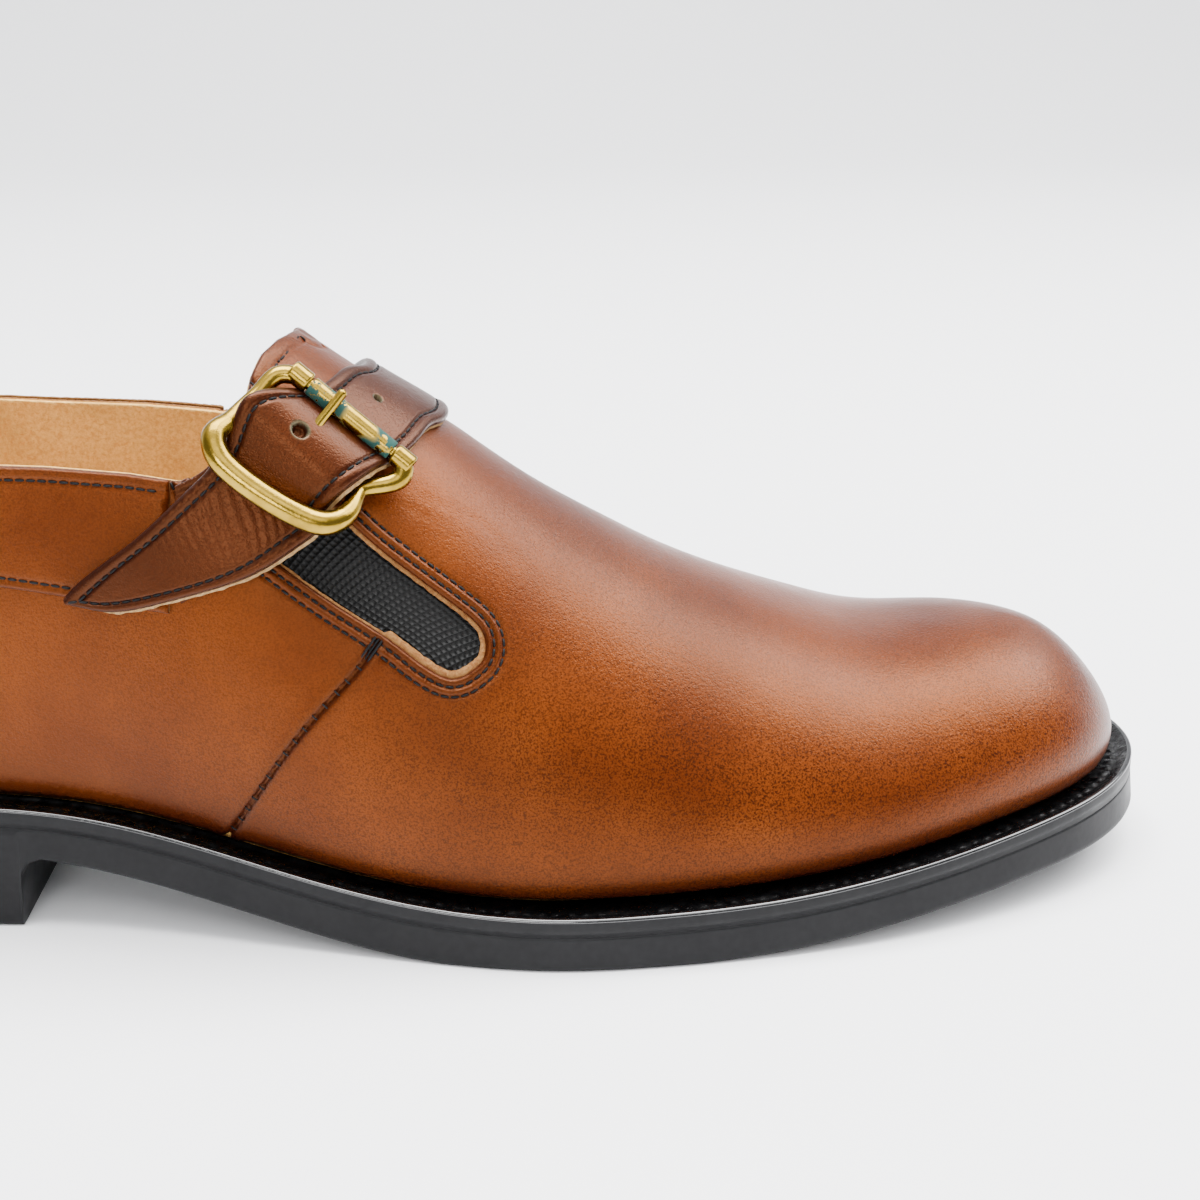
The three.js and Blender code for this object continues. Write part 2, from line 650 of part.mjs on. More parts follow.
// A round rod along points, with its own radius at each point
function rod(points, radii) {
  const sides = 8;
  const count = Math.round(points.length * 2.5);
  const curve = new THREE.CatmullRomCurve3(points);
  const frames = curve.computeFrenetFrames(count, false);
  const radiusAt = steady(radii);
  const rings = evenly(count).map((share, i) => {
    const centre = curve.getPointAt(share);
    const nearest = curve.getUtoTmapping(share) * (radii.length - 1);
    return evenly(sides).slice(0, sides).map((turn) => {
      const angle = 2 * Math.PI * turn;
      const out = frames.normals[i].clone().multiplyScalar(Math.cos(angle));
      out.addScaledVector(frames.binormals[i], Math.sin(angle));
      return centre.clone().addScaledVector(out, radiusAt(nearest));
    });
  });
  const faces = new Faces();
  for (let k = 0; k < sides; k += 1) {
    const next = (k + 1) % sides;
    for (let i = 0; i < count; i += 1) {
      faces.quad(rings[i][k], rings[i][next], rings[i + 1][next], rings[i + 1][k]);
    }
    if (k > 0 && k < sides - 1) {
      faces.triangle(rings[0][0], rings[0][next], rings[0][k]);
      faces.triangle(rings[count][0], rings[count][k], rings[count][next]);
    }
  }
  return faces.solid();
}

// A geometry made along +Y, laid between two points
function layBetween(geometry, from, to) {
  const along = to.clone().sub(from);
  const turn = new THREE.Quaternion().setFromUnitVectors(new THREE.Vector3(0, 1, 0), along.clone().normalize());
  geometry.applyQuaternion(turn);
  geometry.translate(...from.clone().add(to).multiplyScalar(0.5).toArray());
  return toSolid(geometry);
}

function bar(from, to, radius, sides = 12) {
  return layBetween(new THREE.CylinderGeometry(radius, radius, from.distanceTo(to), sides), from, to);
}

function tube(from, to, inner, outer, sides = 14) {
  const half = from.distanceTo(to) / 2;
  const corners = [[inner, -half], [outer, -half], [outer, half], [inner, half], [inner, -half]];
  const profile = corners.map(([r, y]) => new THREE.Vector2(r, y));
  return layBetween(new THREE.LatheGeometry(profile, sides), from, to);
}

const between = (from, to, share) => from.clone().lerp(to, share);
const rollerEnds = { rear: onSkin(FRAME[0]), front: onSkin(FRAME[FRAME.length - 1]) };
const barEnds = { rear: onSkin(CENTRE_BAR.rear), front: onSkin(CENTRE_BAR.front) };
const rollerMid = between(rollerEnds.rear, rollerEnds.front, 0.5);
const barMid = between(barEnds.rear, barEnds.front, 0.5);

// The way up from the foot at the buckle, square to the prong and to the centre bar
const buckleUp = rollerMid.clone().sub(barMid).cross(barEnds.rear.clone().sub(barEnds.front)).normalize();

function makeFrame() {
  const frame = rod(FRAME.map(onSkin), FRAME.map((row) => row.radius));
  return frame.add(bar(rollerEnds.rear, rollerEnds.front, ROLLER_ROD_RADIUS))
    .add(bar(barEnds.rear, barEnds.front, CENTRE_BAR_RADIUS));
}

function makeRoller() {
  const clear = ROLLER_CLEAR / rollerEnds.rear.distanceTo(rollerEnds.front);
  const from = between(rollerEnds.rear, rollerEnds.front, clear);
  const to = between(rollerEnds.rear, rollerEnds.front, 1 - clear);
  return tube(from, to, ROLLER_ROD_RADIUS + GAP, ROLLER_RADIUS);
}

const prongLine = (() => {
  const rise = (point, height) => point.clone().addScaledVector(buckleUp, height);
  const start = rise(barMid, CENTRE_BAR_RADIUS + GAP + 0.5);
  const over = rise(between(rollerEnds.rear, rollerEnds.front, PRONG_REST), ROLLER_RADIUS + GAP + PRONG_RADIUS);
  const tip = over.clone().addScaledVector(over.clone().sub(start).normalize(), PRONG_REACH);
  return { start, tip };
})();

function makeProng() {
  const half = 1.0 / barEnds.rear.distanceTo(barEnds.front);
  const ringFrom = between(barEnds.rear, barEnds.front, 0.5 - half);
  const ringTo = between(barEnds.rear, barEnds.front, 0.5 + half);
  const inner = CENTRE_BAR_RADIUS + GAP;
  const ring = tube(ringFrom, ringTo, inner, inner + LOOP_WALL);
  const hollow = bar(barEnds.rear, barEnds.front, inner);
  return bar(prongLine.start, prongLine.tip, PRONG_RADIUS, 10).subtract(hollow).add(ring);
}

// The tab's end is folded round the centre bar, with a slot where the prong turns
function makeTab() {
  const sheet = slab(TAB, { low: 0, high: TAB_THICK, lanes: 4, steps: 12 });
  const inner = CENTRE_BAR_RADIUS + GAP;
  const from = between(barEnds.rear, barEnds.front, LOOP_ENDS.from);
  const to = between(barEnds.rear, barEnds.front, LOOP_ENDS.to);
  const slot = PRONG_SLOT / 2 / barEnds.rear.distanceTo(barEnds.front);
  const slotFrom = between(barEnds.rear, barEnds.front, 0.5 - slot);
  const slotTo = between(barEnds.rear, barEnds.front, 0.5 + slot);
  return sheet.add(tube(from, to, inner, inner + LOOP_WALL))
    .subtract(bar(slotFrom, slotTo, inner + LOOP_WALL + 0.6))
    .subtract(bar(barEnds.rear, barEnds.front, inner));
}

function makeStrap() {
  const sheet = slab(STRAP, { low: 0, high: STRAP_THICK, lanes: 3, steps: 54 });
  const along = prongLine.tip.clone().sub(prongLine.start).normalize();
  const from = prongLine.start.clone().sub(along);
  return sheet.subtract(bar(from, prongLine.tip.clone().add(along), PRONG_RADIUS + 0.4, 10));
}

const MATERIALS = {
  leather: { color: 0x96552a, roughness: 0.45, metalness: 0 },
  darkLeather: { color: 0x6e3c28, roughness: 0.4, metalness: 0 },
  rubber: { color: 0x161617, roughness: 0.5, metalness: 0 },
  welt: { color: 0x0b0b0c, roughness: 0.25, metalness: 0 },
  elastic: { color: 0x121212, roughness: 0.9, metalness: 0 },
  lining: { color: 0xbe9664, roughness: 0.8, metalness: 0 },
  brass: { color: 0xc9a24a, roughness: 0.3, metalness: 1 },
};

const shoe = new THREE.Group();

function addPiece(name, solid, material) {
  const mesh = new THREE.Mesh(toGeometry(solid), new THREE.MeshStandardMaterial(MATERIALS[material]));
  mesh.name = name;
  shoe.add(mesh);
}

const above = aboveTopline();
addPiece('sole_unit', makeSole(), 'rubber');
addPiece('welt', makeWelt(), 'welt');
addPiece('insole', makeInsole(), 'lining');
addPiece('upper', makeUpper(above), 'leather');
addPiece('gore_lateral', makeGore(-1, above), 'elastic');
addPiece('gore_medial', makeGore(1, above), 'elastic');
addPiece('strap', makeStrap(), 'darkLeather');
addPiece('buckle_tab', makeTab(), 'darkLeather');
addPiece('buckle_frame', makeFrame(), 'brass');
addPiece('buckle_roller', makeRoller(), 'brass');
addPiece('buckle_prong', makeProng(), 'brass');

export default shoe;
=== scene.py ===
import bpy
import numpy as np
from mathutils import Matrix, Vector
from mathutils.bvhtree import BVHTree
from mathutils.kdtree import KDTree


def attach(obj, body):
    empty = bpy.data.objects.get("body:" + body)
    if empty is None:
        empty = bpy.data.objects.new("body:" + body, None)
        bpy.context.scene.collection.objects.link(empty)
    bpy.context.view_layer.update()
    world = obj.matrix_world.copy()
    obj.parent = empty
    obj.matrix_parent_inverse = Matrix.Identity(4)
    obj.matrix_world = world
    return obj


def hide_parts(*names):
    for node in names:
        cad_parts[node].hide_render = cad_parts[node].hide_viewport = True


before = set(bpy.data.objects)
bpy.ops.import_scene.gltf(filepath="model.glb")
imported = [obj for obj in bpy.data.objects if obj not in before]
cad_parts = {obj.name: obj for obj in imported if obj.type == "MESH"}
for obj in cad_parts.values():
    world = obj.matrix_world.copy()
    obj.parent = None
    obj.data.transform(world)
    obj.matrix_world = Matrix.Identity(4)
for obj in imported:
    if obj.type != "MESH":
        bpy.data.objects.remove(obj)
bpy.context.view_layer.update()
MM = 0.001
SIDES = dict(lateral=-1, medial=1)

# Driving dimensions
HALF = 150.0
GAP = 0.3
LEATHER = 1.2
LINING = 1.15
COLLAR_STEP = 1.2
STRAP_THICK = 2.2
SWELL_RISE = 0.72
RIDGE_ENDS = dict(heel=-100.0, toe=119.5, heel_from=-60.0, toe_from=50.0)
TOPLINE_TURN = dict(tilt=0.03, slant=0.22, slant_from=-5.0)

# Sole outline seen from above
SOLE_OUTLINE = dict(
    x=[-150, -146, -138, -125, -108, -88, -68, -48, -25, 0, 25, 45, 65, 85, 105, 122, 136, 145, 150],
    lateral=[0, -15.3, -23.8, -30.2, -33.2, -34.3, -35.6, -39, -44.4, -50.4, -54.6, -53.8, -51, -46.6, -40,
             -32, -22.8, -12.5, 4.5],
    medial=[0, 15.3, 23.8, 29.8, 32.4, 32.6, 31, 29, 28.4, 31.6, 39.2, 46.6, 52.2, 54.6, 51.5, 44.2, 34, 23,
            4.5],
)
BREAST = dict(x=[-150, -77.4, -76.6, -75.2, -72.5], z=[0, 0, 11, 13.4, 14.4])
SOLE_BOTTOM = dict(
    x=[-72.5, -60, -40, -20, -5, 5, 55, 75, 95, 115, 135, 150],
    z=[14.4, 12.4, 8.2, 3.6, 0.9, 0, 0, 1.2, 3.6, 6.2, 8.2, 9.6],
)
TREAD = dict(back=5, front=55)
SOLE_TOP = dict(
    x=[-150, -110, -80, -60, -40, -20, 0, 20, 45, 70, 95, 115, 135, 150],
    z=[25.5, 24.8, 24.2, 22.2, 18.4, 14, 10.9, 9.9, 10, 10.9, 13.4, 16, 18.4, 20.2],
)

# Instep ridge of the upper
RIDGE = dict(
    x=[-150, -110, -70, -40, -22, -8, 5, 14, 24, 36, 50, 64, 78, 90, 100, 110, 120, 135, 150],
    z=[138, 140, 133, 121.5, 110.2, 100.5, 92.2, 85.4, 78.4, 71, 63, 56.8, 51.3, 47.7, 47, 47.6, 47.6, 44.6,
       37.2],
    y=[0, 0, -0.5, -1, -1, -0.7, -0.2, 0.4, 1, 2, 3, 4.4, 5.7, 6.6, 7.3, 7.6, 7.5, 6.9, 6],
)
SECTIONS = dict(
    x=[-150, -110, -70, -35, 0, 30, 60, 90, 120, 150],
    square=[2.4, 2.5, 2.6, 2.4, 2.1, 2.05, 2.1, 2.25, 2.4, 2.4],
    lateral=[3, 4, 4.5, 4.5, 3.5, 2.8, 2.5, 2.5, 2.5, 2.2],
    medial=[3, 4, 6.5, 10, 9.5, 6.5, 4, 2.8, 2.5, 2.2],
    welt=[6, 6, 6, 6.2, 6.5, 7.2, 7.5, 7.5, 7.4, 7],
)

# Collar edge with the tongue's outline, and the lower edge of the collar band, both from the side
TOPLINE = dict(
    x=[-160, -146, -138, -125, -105, -85, -65, -50, -41, -36, -32, -29.2, -28.3, -26.8, -24.6, -22.6, -19],
    z=[98.2, 97.2, 96.2, 93.6, 91.9, 90.9, 90.4, 89.4, 88.1, 89.7, 95.5, 100.4, 105.4, 108.6, 110.3, 110.7,
       111.6],
)
COLLAR_LOW = dict(x=[-160, -140, -115, -90, -75, -60, -43.5], z=[77, 74.4, 71.6, 70.2, 69.6, 67.6, 65.5])
COLLAR_FRONT = dict(x=[-43.5, -42.2], z=[60, 92])
BACK_END = -149.9
TONGUE_FROM = -36
CUT_MARGIN = 6

# Gore window, from its round end up to the collar. Stations run along the foot,
# across goes from 0 at the ridge to 1 at the welt
WINDOW = dict(
    rear=[9.0, 6.8, 4.5, 1.2, -2.5, -7.0, -12.7, -18.4, -26, -33.5, -39, -42],
    rear_across=[0.626, 0.637, 0.638, 0.632, 0.621, 0.612, 0.606, 0.6, 0.589, 0.572, 0.55, 0.51],
    front=[11.2, 12.7, 13.6, 13.1, 9.6, 3.8, -2.5, -8.8, -16.5, -25, -32.5, -37.5],
    front_across=[0.605, 0.586, 0.558, 0.532, 0.514, 0.503, 0.49, 0.474, 0.446, 0.41, 0.36, 0.305],
)
SIDE_SEAM = dict(
    station=[-5.8, -9.3, -14.3, -20.3, -27.5, -34.9, -38.5],
    across=[0.626, 0.676, 0.734, 0.799, 0.88, 0.963, 1.0],
)

# The strap, from its root on the inner side over the tongue and through the buckle to its tail
STRAP = dict(
    rear=[-41.4, -35, -28.5, -19.5, -13.2, -10.5, -13.2, -15.7, -18.3, -20.8, -25.2, -29.8, -31.6, -33.0, -35,
          -37.6, -45.3, -52.6, -58, -60.7, -61.9],
    rear_across=[0.583, 0.553, 0.49, 0.375, 0.21, 0, -0.106, -0.193, -0.262, -0.302, -0.348, -0.394, -0.43,
                 -0.475, -0.512, -0.546, -0.621, -0.674, -0.707, -0.725, -0.735],
    front=[-42.6, -33, -21.5, -9.5, 0.2, 5.2, 2.8, 0.4, -2.2, -4.2, -7.5, -11.8, -14.6, -16.6, -17.2, -19.9,
           -26.3, -36.4, -49.5, -56.9, -61.2],
    front_across=[0.74, 0.685, 0.6, 0.46, 0.26, 0, -0.124, -0.21, -0.278, -0.318, -0.368, -0.427, -0.465,
                  -0.5, -0.522, -0.553, -0.612, -0.672, -0.725, -0.738, -0.74],
    lift=[0.3, 0.3, 0.3, 0.3, 0.3, 0.3, 0.3, 0.3, 0.3, 1.9, 5.3, 6.9, 5.4, 2.1, 1.8, 1.8, 1.8, 1.8, 1.7, 1.7,
          1.7],
)
TAB = dict(
    rear=[-41.6, -36.5, -32.3, -26.8],
    rear_across=[-0.565, -0.525, -0.468, -0.39],
    front=[-41, -27, -19, -13.2],
    front_across=[-0.7, -0.61, -0.53, -0.414],
    lift=[0.3, 0.3, 0.3, 1.2],
)
HOLES = dict(station=[-21.3, -7.7], across=[-0.4, -0.171], lift=[9.0, 2.5], radius=[1.6, 0.85])

# The buckle's ring, from one end of the roller's rod round to the other
RING = dict(
    station=[-22.3, -25.4, -27.8, -30.2, -32.6, -34.6, -34.1, -31.6, -27.9, -23.3, -19.2, -15.6, -12.9,
             -11.2, -9.9, -6.6, -3.2, -3.4],
    across=[-0.3, -0.318, -0.363, -0.405, -0.446, -0.476, -0.497, -0.51, -0.516, -0.518, -0.515, -0.505,
            -0.483, -0.451, -0.417, -0.389, -0.355, -0.331],
    lift=[6.3, 5.2, 3.9, 3.7, 5.0, 6.5, 7.0, 7.1, 7.1, 7.1, 7.0, 6.9, 6.2, 5.0, 3.8, 4.1, 5.2, 6.4],
    radius=[2.0, 1.9, 1.7, 1.7, 2.0, 2.4, 2.5, 2.5, 2.5, 2.5, 2.5, 2.5, 2.3, 1.9, 1.7, 1.9, 2.1, 2.0],
)
RING_SLIM = 0.92
RING_FLAT = 0.88
EYE = dict(back=1.9, fore=2.3, radius=2.1, cap=0.25)
CENTRE_BAR = dict(station=[-30.0, -9.6], across=[-0.384, -0.414], lift=[3.7, 3.6])
CENTRE_BAR_RADIUS = 1.2
ROLLER_ROD_RADIUS = 1.1
ROLLER_RADIUS = 1.9
ROLLER_CLEAR = 2.7
PRONG = dict(radius=1.0, taper=0.9, reach=2.6, rest=0.34, start=0.5)
TAB_THICK = 1.2
TAB_FOLD = 0.9
TAB_LOOP = [0.14, 0.86]

# Places of the rows of stitches, as distances from the edge that they follow
ROWS = dict(window=[1.6, 3.4], tongue=3.3, band_top=2.4, band_low=1.9, strap=2.6)
PITCH = dict(window=1.9, tongue=2.1, band=2.0, strap=2.0)
TONGUE_ROW = dict(front=-31, low=97, high={-1: 109.8, 1: 106})

# Creases of the worn leather, each a soft trough between two places on the outer side
CREASES = dict(
    from_station=[-3.0, -0.8, -3.5, 6.0, 12.0, -31.0, -27.0, -38.0],
    from_across=[-0.379, -0.337, -0.425, -0.3, -0.3, -0.705, -0.74, -0.75],
    to_station=[6.5, 11.0, 3.5, 18.0, 22.0, -14.5, -16.0, -30.0],
    to_across=[-0.372, -0.32, -0.462, -0.325, -0.37, -0.65, -0.705, -0.79],
    width=[0.8, 0.9, 1.0, 1.1, 1.2, 1.6, 1.8, 2.0],
    depth=[0.22, 0.16, 0.2, 0.12, 0.1, 0.2, 0.2, 0.16],
)


def unit(vectors):
    return vectors / np.linalg.norm(vectors, axis=-1, keepdims=True)


# Length along a line up to each of its points
def arc_of(points):
    return np.r_[0, np.cumsum(np.linalg.norm(np.diff(points, axis=0), axis=1))]


# The rows of values between those given at each length of arc
def at_arc(t, arc, values):
    return np.stack([np.interp(t, arc, column) for column in values.T], -1)


# Smooth step from 0 at the first limit to 1 at the second
def ease(value, low, high):
    t = np.clip((np.asarray(value, float) - low) / (high - low), 0, 1)
    return t * t * (3 - 2 * t)


def bell(distance, width):
    return np.exp(-((np.asarray(distance, float) / width) ** 2))


def circle(across, up, sides):
    angle = np.linspace(0, 2 * np.pi, sides, endpoint=False)
    return across * np.cos(angle)[:, None] + up * np.sin(angle)[:, None]


# Natural cubic spline through one column of a table
def spline(xs, ys):
    xs = np.asarray(xs, float)
    ys = np.asarray(ys, float)
    count = len(xs)
    step = np.diff(xs)
    system = np.eye(count)
    right = np.zeros(count)
    for i in range(1, count - 1):
        system[i, i - 1 : i + 2] = step[i - 1], 2 * (step[i - 1] + step[i]), step[i]
        right[i] = 6 * ((ys[i + 1] - ys[i]) / step[i] - (ys[i] - ys[i - 1]) / step[i - 1])
    bend = np.linalg.solve(system, right)

    def value(x):
        x = np.asarray(x, float)
        i = np.clip(np.searchsorted(xs, x, side="right") - 1, 0, count - 2)
        a = xs[i + 1] - x
        b = x - xs[i]
        h = step[i]
        curve = (bend[i] * a**3 + bend[i + 1] * b**3) / (6 * h)
        return curve + (ys[i] / h - bend[i] * h / 6) * a + (ys[i + 1] / h - bend[i + 1] * h / 6) * b

    return value


# Curve through one column that never swings past its rows
def steady(values):
    values = np.asarray(values, float)
    last = len(values) - 1
    rise = np.diff(values)
    slope = np.zeros(last + 1)
    for i in range(1, last):
        if rise[i - 1] * rise[i] > 0:
            slope[i] = 2 * rise[i - 1] * rise[i] / (rise[i - 1] + rise[i])

    def value(u):
        i = np.clip(np.floor(u).astype(int), 0, last - 1)
        t = u - i
        ends = (2 * t**3 - 3 * t**2 + 1) * values[i] + (3 * t**2 - 2 * t**3) * values[i + 1]
        return ends + (t**3 - 2 * t**2 + t) * slope[i] + (t**3 - t**2) * slope[i + 1]

    return value


# A soft bump field with no pattern, from a few seeded waves
class Ripple:
    WAVES = 14

    def __init__(self, seed, size):
        rng = np.random.default_rng(seed)
        self.way = unit(rng.normal(size=(self.WAVES, 3)))
        self.way *= (2 * np.pi / (size * rng.uniform(0.6, 1.7, self.WAVES)))[:, None]
        self.phase = rng.uniform(0, 2 * np.pi, self.WAVES)

    def __call__(self, points):
        return np.sin(points @ self.way.T + self.phase).mean(-1) * np.sqrt(2.0)


def turn_at(x):
    return np.arccos(np.clip(-np.asarray(x, float) / HALF, -1, 1)) / np.pi


def station_at(turn):
    return -HALF * np.cos(np.pi * np.asarray(turn, float))


edge_lateral, edge_medial = (spline(turn_at(SOLE_OUTLINE["x"]), SOLE_OUTLINE[side]) for side in SIDES)
arch_z = spline(*SOLE_BOTTOM.values())
top_z = spline(*SOLE_TOP.values())
ridge_z, ridge_y = (spline(RIDGE["x"], RIDGE[key]) for key in "zy")
square, swell_lateral, swell_medial, welt_width = (
    spline(SECTIONS["x"], SECTIONS[key]) for key in ("square", "lateral", "medial", "welt")
)


def bottom_z(x):
    low = np.interp(x, BREAST["x"], BREAST["z"])
    tread = np.where((x > TREAD["back"]) & (x < TREAD["front"]), 0.0, np.maximum(arch_z(x), 0))
    return np.where(x < SOLE_BOTTOM["x"][0], low, tread)


# A point of the outline, moved in from the edge; outer is true on the lateral side
def outline(turn, outer, inset):
    small = 1e-4

    def at(t):
        return np.stack([station_at(t), np.where(outer, edge_lateral(t), edge_medial(t))], -1)

    along = at(np.minimum(turn + small, 1)) - at(np.maximum(turn - small, 0))
    along[..., 0] = np.where((turn <= 0) | (turn >= 1), 0, along[..., 0])
    along = unit(along)
    inward = np.where(outer, 1.0, -1.0) * inset
    return at(turn) + np.stack([-along[..., 1] * inward, along[..., 0] * inward], -1)


def ridge_x(x):
    toe = (HALF - RIDGE_ENDS["toe"]) / (HALF - RIDGE_ENDS["toe_from"]) ** 2
    heel = (RIDGE_ENDS["heel"] + HALF) / (HALF + RIDGE_ENDS["heel_from"]) ** 2
    fore = x - toe * np.maximum(x - RIDGE_ENDS["toe_from"], 0) ** 2
    return fore + heel * np.minimum(x - RIDGE_ENDS["heel_from"], 0) ** 2


# The outside of the upper: across is -1 at the outer welt, 0 on the ridge and 1 at the inner welt
def skin(turn, across):
    turn, across = np.broadcast_arrays(np.asarray(turn, float), np.asarray(across, float))
    outer = across < 0
    angle = (1 - np.abs(across)) * (np.pi / 2)
    station = station_at(turn)
    foot = outline(turn, outer, welt_width(station))
    out_way = foot - outline(turn, outer, welt_width(station) + 1)
    power = square(station)
    c = np.maximum(np.cos(angle), 0)
    s = np.sin(angle)
    reach = 1 / (c**power + s**power) ** (1 / power)
    out = reach * c
    up = np.minimum(reach * s, 1)
    over_x = ridge_x(station)
    swell = np.where(outer, swell_lateral(station), swell_medial(station))
    bulge = swell * np.sin(np.pi * up**SWELL_RISE)
    x = over_x + (foot[..., 0] - over_x) * out + out_way[..., 0] * bulge
    y = ridge_y(over_x) + (foot[..., 1] - ridge_y(over_x)) * out + out_way[..., 1] * bulge
    base = top_z(foot[..., 0]) + GAP
    return np.stack([x, y, base + (ridge_z(np.maximum(x, -HALF)) - base) * up], -1)


def outward(turn, across):
    small = 2e-3
    t = np.clip(turn, 2 * small, 1 - 2 * small)
    a = np.clip(across, small - 1, 1 - small)
    return unit(np.cross(skin(t + small, a) - skin(t - small, a), skin(t, a + small) - skin(t, a - small)))


# Points held off the skin along its normal
def place(turn, across, lift):
    return skin(turn, across) + outward(turn, across) * np.asarray(lift, float)[..., None]


# The places of a table with stations, places across and lifts
def places(table):
    return place(turn_at(table["station"]), np.array(table["across"], float), table["lift"])


hole_spots = places(HOLES)


def kd_tree(points):
    tree = KDTree(len(points))
    for i, point in enumerate(points):
        tree.insert(point, i)
    tree.balance()
    return tree


# A dense line on the skin that tells how far other points are from it, up to a reach
class Track:
    REACH = 12.0
    STEP = 0.3

    def __init__(self, points):
        arc = arc_of(points)
        self.points = at_arc(np.linspace(0, arc[-1], int(arc[-1] / self.STEP)), arc, points)
        self.tree = kd_tree(self.points)

    def distance(self, points):
        low = self.points.min(0) - self.REACH
        high = self.points.max(0) + self.REACH
        index = np.flatnonzero(np.all((points > low) & (points < high), axis=1))
        hits = np.array([self.tree.find(points[i])[1] for i in index], int)
        found = np.full(len(points), self.REACH)
        for shift in (-1, 0):
            i = np.clip(hits + shift, 0, len(self.points) - 2)
            from_start = points[index] - self.points[i]
            way = self.points[i + 1] - self.points[i]
            share = (from_start * way).sum(-1) / np.maximum((way * way).sum(-1), 1e-9)
            gap = np.linalg.norm(from_start - way * np.clip(share, 0, 1)[:, None], axis=-1)
            found[index] = np.minimum(found[index], gap)
        return found


# Which points lie in a polygon
def inside(corner_x, corner_y, x, y):
    found = np.zeros(len(x), bool)
    for i in range(len(corner_x)):
        ax, ay = corner_x[i - 1], corner_y[i - 1]
        bx, by = corner_x[i], corner_y[i]
        if ay != by:
            crosses = (ay > y) != (by > y)
            found ^= crosses & (x < (bx - ax) * (y - ay) / (by - ay) + ax)
    return found


# A triangle net over the skin, kept as turn and across at each corner
class Net:
    # The triangles that replace one with one, two or three cut sides. Corners 0 to 2 are its own,
    # 3 to 5 are the new ones on the sides that follow them
    ONE_CUT = [[0, 3, 2], [3, 1, 2]]
    TWO_CUTS = [[3, 1, 4], [0, 3, 4], [0, 4, 2]]
    ALL_CUT = [[0, 3, 5], [3, 1, 4], [5, 4, 2], [3, 4, 5]]
    SLACK = 1.35

    def __init__(self, turns, acrosses):
        rows, columns = len(turns), len(acrosses)
        self.par = np.stack(np.meshgrid(turns, acrosses, indexing="ij"), -1).reshape(-1, 2)
        i, k = np.meshgrid(np.arange(rows - 1), np.arange(columns - 1), indexing="ij")
        a = (i * columns + k).ravel()
        b = a + columns
        lean = ((i + k) % 2 == 0).ravel()
        first = np.stack([a, b, np.where(lean, b + 1, a + 1)], -1)
        second = np.stack([np.where(lean, a, b), b + 1, a + 1], -1)
        self.tris = np.concatenate([first, second])

    def points(self):
        return skin(self.par[:, 0], self.par[:, 1])

    def sides(self):
        return np.concatenate([self.tris[:, pair] for pair in ([0, 1], [1, 2], [2, 0])])

    def edges(self):
        unique, index = np.unique(np.sort(self.sides(), axis=1), axis=0, return_inverse=True)
        return unique, index.reshape(3, -1).T

    # Splits every edge longer than what is wanted there
    def refine(self, wanted, rounds):
        for _ in range(rounds):
            points = self.points()
            edges, of_tri = self.edges()
            size = np.linalg.norm(points[edges[:, 0]] - points[edges[:, 1]], axis=1)
            want = wanted(points)
            cut = size > np.minimum(want[edges[:, 0]], want[edges[:, 1]]) * self.SLACK
            if not cut.any():
                break
            self.split(edges, of_tri, cut, np.full(len(edges), 0.5))

    def split(self, edges, of_tri, cut, share):
        number = np.full(len(edges), -1)
        number[cut] = len(self.par) + np.arange(cut.sum())
        ends = self.par[edges[cut]]
        weight = share[cut][:, None]
        self.par = np.concatenate([self.par, ends[:, 0] * (1 - weight) + ends[:, 1] * weight])
        marks = number[of_tri]
        count = (marks >= 0).sum(1)
        made = [self.tris[count == 0]]
        for first in range(3):
            corners = np.hstack([np.roll(self.tris, -first, axis=1), np.roll(marks, -first, axis=1)])
            made += [corners[(count == 1) & (corners[:, 3] >= 0)][:, pick] for pick in self.ONE_CUT]
            made += [corners[(count == 2) & (corners[:, 5] < 0)][:, pick] for pick in self.TWO_CUTS]
        made += [np.hstack([self.tris, marks])[count == 3][:, pick] for pick in self.ALL_CUT]
        self.tris = np.concatenate(made)

    # Keeps the side where the field is above zero, with a smooth cut
    def clip(self, field):
        value = field(self.points())
        value = np.where(np.abs(value) < 1e-6, 1e-6, value)
        edges, of_tri = self.edges()
        a, b = value[edges[:, 0]], value[edges[:, 1]]
        cut = (a > 0) != (b > 0)
        known = len(self.par)
        self.split(edges, of_tri, cut, np.where(cut, a / np.where(cut, a - b, 1), 0.5))
        new = np.arange(len(self.par)) >= known
        wanted = np.concatenate([value > 0, new[known:]])
        self.tris = self.tris[wanted[self.tris].all(1) & ~new[self.tris].all(1)]
        self.tidy()

    def tidy(self):
        used = np.unique(self.tris)
        number = np.full(len(self.par), -1)
        number[used] = np.arange(len(used))
        self.par = self.par[used]
        self.tris = number[self.tris]

    # Joins the two sides of the net where they meet at the heel and at the toe
    def weld(self):
        key = np.round(self.points() / 0.002).astype(np.int64)
        _, first, same = np.unique(key, axis=0, return_index=True, return_inverse=True)
        self.tris = first[same.ravel()][self.tris]
        a, b, c = self.tris.T
        self.tris = self.tris[(a != b) & (b != c) & (a != c)]
        self.tidy()

    def rim(self):
        pairs = self.sides()
        code, back = (pairs[:, a] * len(self.par) + pairs[:, 1 - a] for a in (0, 1))
        return pairs[~np.isin(code, back)]


def link(thing):
    bpy.context.scene.collection.objects.link(thing)
    return thing


def new_object(name, points, faces, materials):
    mesh = bpy.data.meshes.new(name)
    mesh.from_pydata((np.asarray(points, float) * MM).tolist(), [], faces)
    for material in materials:
        mesh.materials.append(material)
    mesh.polygons.foreach_set("use_smooth", np.ones(len(mesh.polygons), bool))
    return link(bpy.data.objects.new(name, mesh))


